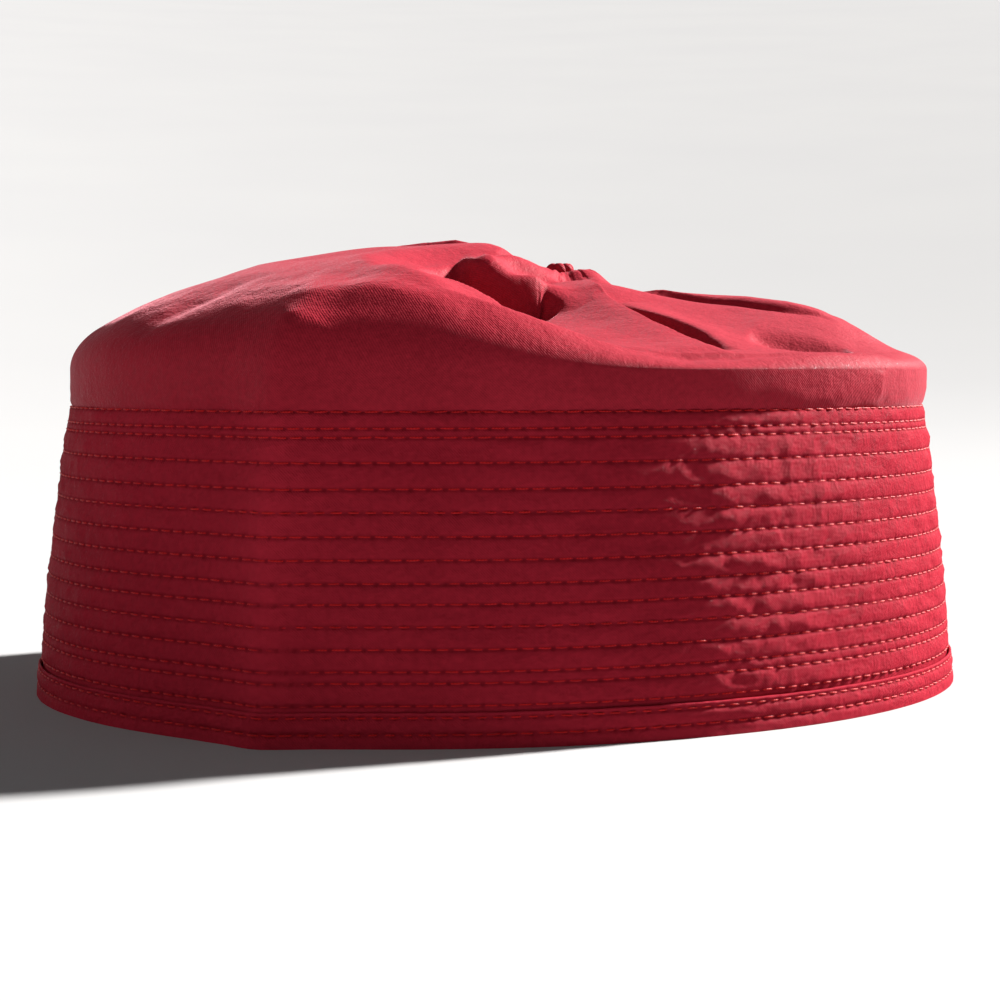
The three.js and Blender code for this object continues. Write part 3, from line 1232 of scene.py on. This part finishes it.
    def _pleat_share(self, angle: np.ndarray, share: np.ndarray) -> np.ndarray:
        """How high the pleats stand.

        Args:
            angle: Angles round the cap.
            share: Shares of the way from the gathers to the shoulder.

        Returns:
            A share of a full pleat's height at each point.
        """
        highest = np.zeros(np.broadcast(angle, share).shape)
        for pleat in self.pleats:
            along = (share - pleat.from_share) / (pleat.to_share - pleat.from_share)
            inside = np.clip(along, 0, 1)
            swing = turn_between(pleat.to_angle, pleat.from_angle)
            turn = turn_between(angle, pleat.from_angle + swing * inside) * pleat.faces
            across = np.where(turn > 0, turn / (pleat.slope / 5), -turn / pleat.slope)
            fade = np.minimum(1, 5 * inside) * np.sqrt(1 - inside)
            one = np.where((along > 0) & (across < 1), pleat.height * fade * (1 - across), 0)
            highest = np.maximum(highest, one)
        return highest

    def smooth_point(self, angle: np.ndarray, share: np.ndarray) -> np.ndarray:
        """The crown's top without pleats and folds.

        Args:
            angle: Angles round the cap.
            share: Shares of the way from the gathers to the shoulder.

        Returns:
            The points.
        """
        angle, share = np.broadcast_arrays(np.asarray(angle, float), np.asarray(share, float))
        foot = self.foot + self.wall_rise
        drawn = self.plan.lean(self.plan.band_height) + self.plan.hem_proud - self._bulge(angle)
        shoulder = self.plan.point(angle, drawn - self._sway(angle), foot)
        middle = np.array([*self.knot, foot])
        length = np.linalg.norm(shoulder - middle, axis=-1)
        gathered = middle + (shoulder - middle) * (self.gather_across / 2 / length)[..., None]
        levels = np.stack([self._column(angle, k) for k in range(5)])
        sunken = read_by_share(self.section_shares, levels, share)
        roll = self._roll(angle, share, length)
        full = sunken + (self._column(angle, 5) - sunken) * roll
        away = turn_between(angle, self.front_angle) / self.front_spread
        stiff = roll * np.exp(-(away**2))
        arc = np.sqrt(1 - share ** (2 + self.front_fullness * stiff))
        full = full * ((1 - self.front_sink * stiff * share) * arc)
        blend = smoothstep(share, 0, self.section_shares[0])
        point = gathered + (shoulder - gathered) * share[..., None]
        rise = self.gather_rise + (self.dome_rise * full - self.gather_rise) * blend
        point[..., 2] += rise
        return point

    def _folded(self, point: np.ndarray, share: np.ndarray) -> np.ndarray:
        """How the drawn folds move the crown's top.

        Args:
            point: The points without the folds.
            share: Their shares of the way from the gathers to the shoulder.

        Returns:
            The way that each point moves, up or down and with the folds' leans.
        """
        moved = np.zeros_like(point)
        for fold in self.folds:
            ends = np.array(fold.line, float)
            known = tuple(np.linspace(0, 1, len(ends)))
            fine = np.linspace(0, 1, 8 * len(ends) - 7)
            turns = read_by_share(known, ends[:, :1], fine)
            line = self.smooth_point(turns, read_by_share(known, ends[:, 1:], fine))[:, :2]
            distance, side, along, left = beside(line, point[..., :2])
            reach = np.where(side > 0, fold.steep, fold.gentle)
            if fold.levels:
                levels = read_by_share(known, np.array(fold.levels, float)[:, None], fine)
                places = length_along(line)
                fade = np.interp(along, places / places[-1], levels)
            else:
                fade = np.sin(np.pi * np.clip(along, 0.0, 1.0)) ** 0.6
            crest = np.exp(-((distance / reach) ** 2)) * fade
            lip = np.exp(-((distance / max(fold.steep, 1.2)) ** 2)) * fade
            moved[..., 2] += fold.height * crest
            moved[..., :2] += fold.lean * lip[..., None] * left
        return moved * smoothstep(1.02 - share, 0, 0.06)[..., None]

    def point(self, angle: np.ndarray, share: np.ndarray) -> np.ndarray:
        """The finished outside of the crown's top.

        Args:
            angle: Angles round the cap.
            share: Shares of the way from the gathers to the shoulder.

        Returns:
            The points.
        """
        angle, share = np.broadcast_arrays(np.asarray(angle, float), np.asarray(share, float))
        point = self.smooth_point(angle, share)
        turn = angle / 360
        near = np.exp(-((share / 0.12) ** 2)) * smoothstep(share, 0.0, 0.03)
        gathers = np.abs(self.gathers.at(turn, share * 2.2)) * self.gather_depth
        gathers = gathers + self.fine_gather_depth * self.fine_gathers.at(turn, share * 2.0)
        lift = self.pleat_height * self._pleat_share(angle, share) + gathers * near
        soft = self.soft_depth * self.softness.at(turn, share) - self.soft_sink
        lift = lift + soft * smoothstep(share, 0.1, 0.4)
        crumpled = self.crease_depth * self.creases.at(turn, share)
        lift = lift + crumpled * smoothstep(share, 0.35, 0.75)
        point[..., 2] += lift * smoothstep(1.0 - share, -0.02, 0.12)
        return point + self._folded(point, share)

    def _wall(self, t: np.ndarray, inset: float) -> np.ndarray:
        """The upright wall.

        Args:
            t: Shares of its height.
            inset: How far in from its outside.

        Returns:
            Its points, by ring and column.
        """
        plan = self.plan
        lean = plan.lean(plan.band_height) + plan.hem_proud
        height = self.foot - self.seam + (self.wall_rise + self.seam) * t[:, None]
        below = 1 - t[:, None]
        bulge = self._bulge(self.angles) * (1 - below**3)
        tuck = (plan.stitch_sink + 0.15) * below**6
        pinch = 0.16 * self.creases.at(self.angles / 360, t[:, None] * 0.2) * below**1.5
        away = np.abs(turn_between(self.angles, self.wall_crease_angle)) / self.wall_crease_spread
        crease = self.wall_crease * np.exp(-away) * smoothstep(t, 0.1, 0.6)[:, None]
        drawn = lean - bulge + tuck - pinch - crease + inset - self._sway(self.angles)
        return plan.point(self.angles, drawn, height)

    def build(self) -> bpy.types.Object:
        """Makes the crown.

        Returns:
            The crown's object.
        """
        shares = self._shares()
        outside = self.point(self.angles[None], shares[:, None])
        inside = self._inner(shares, outside)
        rise = np.linspace(0, 1, 13)[:-1]
        wall = self._wall(rise, 0.0)
        inner_wall = self._wall(np.linspace(0.8, 0, 4), self.cloth)
        foot_edge = (wall[0] + inner_wall[-1]) / 2 - np.array([0, 0, 0.3])
        rings = np.concatenate([inside, inner_wall, foot_edge[None], wall, outside])
        middle = np.array([*self.knot, self.gather_level()])
        skin = Skin("crown_cloth", rings, (middle - np.array([0, 0, self.cloth]), middle))
        steps = np.linalg.norm(np.diff(rings, axis=0), axis=-1).mean(axis=1)
        up = np.concatenate([[0], np.cumsum(steps)])
        skin.maps["weave"] = ring_map(length_along(wall[0]), up, False)
        upright = len(inner_wall) + 1 + len(wall)
        fading = smoothstep(1 - shares, 0.02, 0.3)
        flat = np.concatenate([np.ones(len(inside)), np.zeros(upright), fading])
        skin.levels["flat"] = flat[:, None]
        # Painted light: the top grows paler towards the knot, as if lit from above
        wear = np.concatenate([np.zeros(len(rings) - len(shares)), 0.16 * (1 - shares)])
        skin.levels["wear"] = wear[:, None] + 0.05
        return skin.build()

    def _shares(self) -> np.ndarray:
        """The shares of the top's rings.

        Returns:
            Shares from the shoulder to the gathers, closer together at the lapped pleat.
        """
        turn = np.linspace(0, math.pi / 2, 2001)
        away = (np.cos(turn) - self.lap_share) / self.lap_spread
        closeness = 1 + self.lap_closeness * np.exp(-(away**2))
        run = np.cumsum(closeness) - closeness[0]
        return np.cos(np.interp(np.linspace(0, run[-1], self.rings), run, turn))

    def _inner(self, shares: np.ndarray, outside: np.ndarray) -> np.ndarray:
        """The inside of the top, under the lowest of the outside between its own rings.

        Args:
            shares: The shares of the outside's rings.
            outside: The outside's points, by ring and column.

        Returns:
            The inside's points from the gathers to the shoulder, by ring and column.
        """
        nudge = self.nudge
        even = np.cos(np.linspace(0, math.pi / 2, self.inner_rings))
        picks = np.interp(-even, -shares, np.arange(len(shares))).round().astype(int)
        angle, share = self.angles[None], shares[picks][:, None]
        round_it = self.smooth_point(angle + nudge, share) - self.smooth_point(angle - nudge, share)
        inner = self.smooth_point(angle, np.maximum(0, share - nudge / 100))
        outer = self.smooth_point(angle, np.minimum(1, share + nudge / 100))
        normal = np.cross(round_it, inner - outer)
        normal /= np.linalg.norm(normal, axis=-1, keepdims=True)
        here = self.smooth_point(angle, share) - self.cloth * normal
        for ring in range(len(picks)):
            first, last = picks[max(ring - 1, 0)], picks[min(ring + 1, len(picks) - 1)]
            lowest = outside[first : last + 1, :, 2].min(axis=0) - self.cloth
            here[ring, :, 2] = np.minimum(here[ring, :, 2], lowest)
        return here[::-1]


@dataclass
class Knot:
    """The tuft of gathered cloth that closes the crown, rolled in on itself and sewn over."""

    crown: Crown
    across: float = 5.4
    height: float = 2.6
    rooted: float = 0.7
    gathers: int = 7
    twist: float = 1.1
    lip: float = 0.8
    stretch: tuple[float, float] = (1.12, 0.94)
    columns: int = 112
    rings: int = 26

    def build(self) -> bpy.types.Object:
        """Makes the tuft.

        Returns:
            The knot's object.
        """
        crown = self.crown
        level = crown.gather_level()
        angle = np.linspace(0, 2 * math.pi, self.columns + 1)
        ripples = Ripples(51, 9, 3)
        rings = []
        for t in np.linspace(0, 1, self.rings):
            swing = math.pi * (t * 1.28 - 0.12)
            if t < self.lip:
                out = 0.16 + 0.84 * max(0.0, math.sin(swing)) ** 0.75
                up = 0.5 - 0.62 * math.cos(swing)
            else:
                out = 0.22 + 2.4 * (1 - t)
                up = 0.93 - 0.9 * (t - self.lip)
            crimp = np.abs(np.sin((angle + self.twist * t) * self.gathers / 2)) ** 0.6
            rough = ripples.at(angle / (2 * math.pi), np.array(t))
            loose = math.sin(math.pi * t)
            radius = self.across / 2 * out * (0.86 + 0.2 * crimp * loose + 0.07 * rough)
            rise = level - self.rooted + (self.height + 0.35) * min(1.0, max(0.0, up))
            x = crown.knot[0] + radius * np.cos(angle) * self.stretch[0]
            y = crown.knot[1] + radius * np.sin(angle) * self.stretch[1]
            rings.append(np.stack([x, y, rise + 0.18 * crimp * loose + 0 * angle], -1))
        rings = np.array(rings)
        first = np.array([*crown.knot, rings[0, 0, 2]])
        last = np.array([*crown.knot, rings[-1, 0, 2] - 0.25])
        skin = Skin("knot_cloth", rings, (first, last))
        run = angle * self.across / 2
        skin.maps["weave"] = ring_map(run, np.linspace(0, 7, len(rings)), False)
        skin.levels["flat"] = np.ones((1, 1))
        # Painted light: the knot is as pale as the crown's top around it
        skin.levels["wear"] = np.full((1, 1), 0.2)
        return skin.build()


# The stitches


class StitchTree:
    """A Geometry Nodes tree that sews bowed stitches along the edges of a mesh."""

    sizes = ("Pitch", "Reach", "Bow", "Bite", "Thread", "Outward", "Uneven")

    def __init__(self, name: str, finish: bpy.types.Material) -> None:
        """Builds the tree.

        Args:
            name: The tree's name.
            finish: The thread's material.
        """
        self.tree = bpy.data.node_groups.new(name, "GeometryNodeTree")
        sockets = self.tree.interface
        sockets.new_socket("Geometry", in_out="INPUT", socket_type="NodeSocketGeometry")
        self.identifiers = {
            size: sockets.new_socket(size, in_out="INPUT", socket_type="NodeSocketFloat").identifier
            for size in self.sizes
        }
        sockets.new_socket("Geometry", in_out="OUTPUT", socket_type="NodeSocketGeometry")
        self.given = add_node(self.tree, "NodeGroupInput").outputs
        self._fill(finish)

    def _node(
        self,
        kind: str,
        settings: dict[str, object] | None = None,
        inputs: dict[int | str, object] | None = None,
        output: int = 0,
    ) -> bpy.types.NodeSocket:
        """Adds one node and hands back the chosen output."""
        return add_node(self.tree, kind, settings, inputs).outputs[output]

    def _stitch(self) -> bpy.types.NodeSocket:
        """One stitch along X that bows up in the middle and dips at its ends.

        Returns:
            The stitch's mesh.
        """
        sizes = self.given
        minus = {"operation": "MULTIPLY"}
        back = self._node("ShaderNodeMath", minus, {0: sizes["Reach"], 1: -1.0})
        down = self._node("ShaderNodeMath", minus, {0: sizes["Bite"], 1: -1.0})
        start = self._node("ShaderNodeCombineXYZ", None, {0: back, 2: down})
        middle = self._node("ShaderNodeCombineXYZ", None, {2: sizes["Bow"]})
        end = self._node("ShaderNodeCombineXYZ", None, {0: sizes["Reach"], 2: down})
        ends = {"Start": start, "Middle": middle, "End": end, "Resolution": 5}
        rail = self._node("GeometryNodeCurveQuadraticBezier", None, ends)
        section = {"Resolution": 5, "Radius": sizes["Thread"]}
        profile = self._node("GeometryNodeCurvePrimitiveCircle", None, section)
        way = self._node("GeometryNodeSplineParameter")
        on_points = {"domain": "POINT"}
        kept = {"Geometry": rail, "Name": "along", "Value": way}
        rail = self._node("GeometryNodeStoreNamedAttribute", on_points, kept)
        kept = {"Geometry": profile, "Name": "around", "Value": way}
        profile = self._node("GeometryNodeStoreNamedAttribute", on_points, kept)
        made = {"Curve": rail, "Profile Curve": profile, "Fill Caps": True}
        return self._node("GeometryNodeCurveToMesh", None, made)

    def _facing(self) -> bpy.types.NodeSocket:
        """Turns each stitch along its row and its bow outwards, a little unevenly.

        Returns:
            The rotation at each point of the rows.
        """
        tangent = self._node("GeometryNodeInputTangent")
        cross = {"operation": "CROSS_PRODUCT"}
        outward = self._node("ShaderNodeVectorMath", cross, {0: tangent, 1: (0.0, 0.0, 1.0)})
        scale = {0: outward, "Scale": self.given["Outward"]}
        outward = self._node("ShaderNodeVectorMath", {"operation": "SCALE"}, scale)
        line_up = {"Vector": tangent}
        lined = self._node("FunctionNodeAlignRotationToVector", {"axis": "X"}, line_up)
        face_out = {"Rotation": lined, "Vector": outward}
        settings = {"axis": "Z", "pivot_axis": "X"}
        faced = self._node("FunctionNodeAlignRotationToVector", settings, face_out)
        amount = self.given["Uneven"]
        least = self._node("ShaderNodeMath", {"operation": "MULTIPLY"}, {0: amount, 1: -1.0})
        span = {2: least, 3: amount, "Seed": 5}
        yaw = self._node("FunctionNodeRandomValue", {"data_type": "FLOAT"}, span, 1)
        euler = self._node("ShaderNodeCombineXYZ", None, {2: yaw})
        slant = self._node("FunctionNodeEulerToRotation", None, {0: euler})
        settings = {"rotation_space": "LOCAL"}
        turned = {"Rotation": faced, "Rotate By": slant}
        return self._node("FunctionNodeRotateRotation", settings, turned)

    def _fill(self, finish: bpy.types.Material) -> None:
        """Adds the nodes: the rows, and one instance a stitch in seeded uneven sizes.

        Args:
            finish: The thread's material.
        """
        sizes = self.given
        rows = self._node("GeometryNodeMeshToCurve", None, {0: sizes["Geometry"]})
        length = self._node("GeometryNodeSplineLength")
        share = {0: length, 1: sizes["Pitch"]}
        share = self._node("ShaderNodeMath", {"operation": "DIVIDE"}, share)
        total = self._node("ShaderNodeMath", {"operation": "ROUND"}, {0: share})
        spaced = self._node("GeometryNodeResampleCurve", None, {"Curve": rows, "Count": total})
        span = {0: (0.88, 0.9, 0.8), 1: (1.06, 1.1, 1.15), "Seed": 6}
        size = self._node("FunctionNodeRandomValue", {"data_type": "FLOAT_VECTOR"}, span)
        sewn = {
            "Points": spaced,
            "Instance": self._stitch(),
            "Rotation": self._facing(),
            "Scale": size,
        }
        sewn = self._node("GeometryNodeInstanceOnPoints", None, sewn)
        real = self._node("GeometryNodeRealizeInstances", None, {0: sewn})
        smooth = self._node("GeometryNodeSetShadeSmooth", None, {0: real})
        dyed = {"Geometry": smooth, "Material": finish}
        dyed = self._node("GeometryNodeSetMaterial", None, dyed)
        add_node(self.tree, "NodeGroupOutput", None, {0: dyed})


@dataclass
class Stitches:
    """The thread on one side of the cloth, along a set of rows."""

    name: str
    sewing: Sewing
    side: Side
    paths: list[np.ndarray]
    starts: list[int]

    def build(self, tree: StitchTree) -> bpy.types.Object:
        """Sews the rows.

        Args:
            tree: The stitches' Geometry Nodes tree.

        Returns:
            The thread as a plain mesh.
        """
        points, edges = [], []
        for path, start in zip(self.paths, self.starts):
            loop, low = np.roll(path[:-1], -start, axis=0), len(points)
            points += (loop * MM).tolist()
            count = len(loop)
            edges += [(low + k, low + (k + 1) % count) for k in range(count)]
        guide = bpy.data.meshes.new(f"{self.name}_guide")
        guide.from_pydata(points, edges, [])
        rows = put(f"{self.name}_guide", guide)
        modifier = rows.modifiers.new("sewing", "NODES")
        modifier.node_group = tree.tree
        sewing = self.sewing
        values = {
            "Pitch": sewing.pitch * MM,
            "Reach": sewing.reach * MM,
            "Bow": sewing.bow * MM,
            "Bite": sewing.bite * MM,
            "Thread": sewing.thread * MM,
            "Outward": float(self.side.value),
            "Uneven": sewing.uneven,
        }
        for size, value in values.items():
            modifier[tree.identifiers[size]] = value
        bpy.context.view_layer.update()
        graph = bpy.context.evaluated_depsgraph_get()
        mesh = bpy.data.meshes.new_from_object(rows.evaluated_get(graph))
        mesh.name = self.name
        thread = put(self.name, mesh)
        rows.modifiers.clear()
        bpy.data.objects.remove(rows)
        return thread


# The studio


@dataclass
class Studio:
    """A pale floor that curves up all round, soft light, and the camera."""

    focal_length: float = 72.12
    camera_away: float = 432.77
    camera_aside: float = -1.21
    camera_height: float = 65.51
    look_down: float = 3.609
    look_azimuth: float = -25.97
    floor_radius: float = 9.0
    floor_slope: float = 0.24
    floor_bend: float = 0.3
    floor_drop: float = 0.00002
    key_energy: float = 17.0
    key_across: float = 4.0
    key_toward: tuple[float, float, float] = (0.72, 0.41, 0.5)
    fill_energy: float = 4.0
    fill_size: float = 1.2
    fill_place: tuple[float, float, float] = (-1.3, -0.6, 0.9)
    fill_aim: float = 0.06
    sky: tuple[float, float, float, float] = (0.95, 0.96, 1.0, 1)
    sky_strength: float = 0.08

    def axes(self) -> tuple[Vector, Vector]:
        """The level directions of the picture.

        Returns:
            Its right, and the way that the camera looks.
        """
        turn = math.radians(-self.look_azimuth)
        right = Vector((math.cos(turn), -math.sin(turn), 0))
        away = Vector((math.sin(turn), math.cos(turn), 0))
        return right, away

    def _seen(self, aside: float, behind: float, height: float) -> Vector:
        """A place to the picture's right, behind the cap and up, in metres."""
        right, away = self.axes()
        return right * aside + away * behind + Vector((0, 0, height))

    def camera(self) -> None:
        """Puts the camera where the picture was taken from."""
        right, away = self.axes()
        place = (self.camera_aside * right - self.camera_away * away) * MM
        place.z = self.camera_height * MM
        down = math.radians(self.look_down)
        look = away * math.cos(down) - Vector((0, 0, math.sin(down)))
        up = right.cross(look)
        made = bpy.data.cameras.new("camera")
        made.sensor_width, made.lens = 36, self.focal_length
        made.clip_start, made.clip_end = 0.01, 50
        thing = put("camera", made)
        turned = Matrix((right, up, -look)).transposed().to_4x4()
        thing.matrix_world = Matrix.Translation(place) @ turned
        bpy.context.scene.camera = thing

    def floor(self) -> None:
        """Lays the floor, which rises softly far from the cap."""
        angle = np.radians(np.linspace(0, 360, 97)[:-1])
        near, far = np.linspace(0.2, 1.0, 5), np.linspace(1.2, self.floor_radius, 30)
        reach = np.concatenate([[0.03], near, far])
        points, faces = [(0.0, 0.0, -self.floor_drop)], []
        slope, bend = self.floor_slope, self.floor_bend
        for out in reach:
            rise = slope * (math.hypot(out - 1, bend) + out - 1) / 2
            rise -= slope * (math.hypot(1, bend) - 1) / 2 + self.floor_drop
            points += [(out * math.cos(a), out * math.sin(a), rise) for a in angle]
        count = len(angle)
        faces += [(0, 1 + i, 1 + (i + 1) % count) for i in range(count)]
        for ring in range(len(reach) - 1):
            low, high = 1 + ring * count, 1 + (ring + 1) * count
            faces += [
                (low + i, high + i, high + (i + 1) % count, low + (i + 1) % count)
                for i in range(count)
            ]
        mesh = bpy.data.meshes.new("studio_floor")
        mesh.from_pydata(points, [], faces)
        mesh.shade_smooth()
        thing = put("studio_floor", mesh)
        tree = MaterialTree("pale_floor")
        place = tree.node("ShaderNodeTexCoord", None, None, "Object")
        mottle = tree.grain(place, 3, 2)
        colour = tree.blend(mottle, (0.335, 0.335, 0.34, 1), (0.355, 0.355, 0.355, 1))
        inputs = {"Base Color": colour, "Roughness": 0.9, "Specular IOR Level": 0.1}
        mesh.materials.append(tree.close(tree.node("ShaderNodeBsdfPrincipled", None, inputs)))

    def light(self) -> None:
        """Lights the cap from above right, a little behind it, with a soft fill."""
        key = bpy.data.lights.new("key_light", "SUN")
        key.energy, key.angle = self.key_energy, math.radians(self.key_across)
        key.color = (1.0, 0.98, 0.96)
        toward = self._seen(*self.key_toward)
        turned = toward.to_track_quat("Z", "Y").to_matrix().to_4x4()
        put("key_light", key).matrix_world = turned
        fill = bpy.data.lights.new("fill_light", "AREA")
        fill.shape, fill.size, fill.energy = "DISK", self.fill_size, self.fill_energy
        place = self._seen(*self.fill_place)
        aim = place - Vector((0, 0, self.fill_aim))
        turned = aim.to_track_quat("Z", "Y").to_matrix().to_4x4()
        put("fill_light", fill).matrix_world = Matrix.Translation(place) @ turned
        world = bpy.data.worlds.new("studio")
        world.use_nodes = True
        backdrop = world.node_tree.nodes["Background"].inputs
        backdrop[0].default_value, backdrop[1].default_value = self.sky, self.sky_strength
        bpy.context.scene.world = world
        bpy.context.scene.view_settings.view_transform = "Standard"


def dress(thing: bpy.types.Object, material: bpy.types.Material, slot: str, *nodes: str) -> None:
    """Gives a piece its material and its body, hides the solids that it stands for and logs its
    slot.

    Args:
        thing: The piece.
        material: Its material.
        slot: The record's slot that its finish comes from.
        nodes: The solids that it replaces.
    """
    thing.data.materials.clear()
    thing.data.materials.append(material)
    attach(thing, "root")
    if nodes:
        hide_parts(*nodes)
    triangles = sum(len(face.vertices) - 2 for face in thing.data.polygons)
    log.info("%s: %d triangles, slot %s", thing.name, triangles, slot)


def main() -> None:
    """Builds the pieces in order, dresses them and sets the studio."""
    logging.basicConfig(level=logging.INFO, format="%(message)s")
    plan, sewing = CapPlan(), Sewing()
    band = Band(plan, sewing)
    hem = Hem(plan, sewing, band)
    crown = Crown(plan, band)
    knot = Knot(crown)
    quilted = ClothFinish("quilted_cotton", True)
    soft = ClothFinish(
        "soft_cotton", False, specular=0.03, sheen=0.22, crumple=5.0, relief=0.00014
    )
    thread = ThreadFinish("red_thread")
    finishes = Finishes(quilted.build(), soft.build(), thread.build())
    band_cloth = band.build()
    dress(band_cloth, finishes.quilted, "quilted_cotton", "band")
    hem_cloth = hem.build()
    dress(hem_cloth, finishes.quilted, "quilted_cotton", "hem")
    crown_cloth = crown.build()
    dress(crown_cloth, finishes.soft, "soft_cotton", "crown")
    knot_cloth = knot.build()
    dress(knot_cloth, finishes.soft, "soft_cotton", "crown_knot")

    tree = StitchTree("row_stitches", finishes.thread)
    sunk = plan.hem_proud + band.groove + 0.05
    outer = [band.path(row.height, sunk) for row in band.rows]
    starts = [row.start for row in band.rows]
    band_stitches = Stitches("band_stitches", sewing, Side.OUTSIDE, outer, starts).build(tree)
    dress(band_stitches, finishes.thread, "red_thread")
    low = [hem.path(row.height, hem.sink - 0.02) for row in hem.rows]
    low_starts = [row.start for row in hem.rows]
    hem_stitches = Stitches("hem_stitches", sewing, Side.OUTSIDE, low, low_starts).build(tree)
    dress(hem_stitches, finishes.thread, "red_thread")
    within = plan.hem_proud + band.wall - band.inside_sink + 0.02
    heights = [row.height for row in band.rows]
    heights[-1] -= band.edge_drop
    inner = [band.path(height, within) for height in heights]
    deep = hem.inner() + hem.wall - hem.inside_sink
    inner += [hem.path(row.height, deep) for row in hem.rows]
    every = starts + low_starts
    inside_stitches = Stitches("inside_stitches", sewing, Side.INSIDE, inner, every).build(tree)
    dress(inside_stitches, finishes.thread, "red_thread")

    studio = Studio()
    studio.camera()
    studio.floor()
    studio.light()


if __name__ == "__main__":
    main()
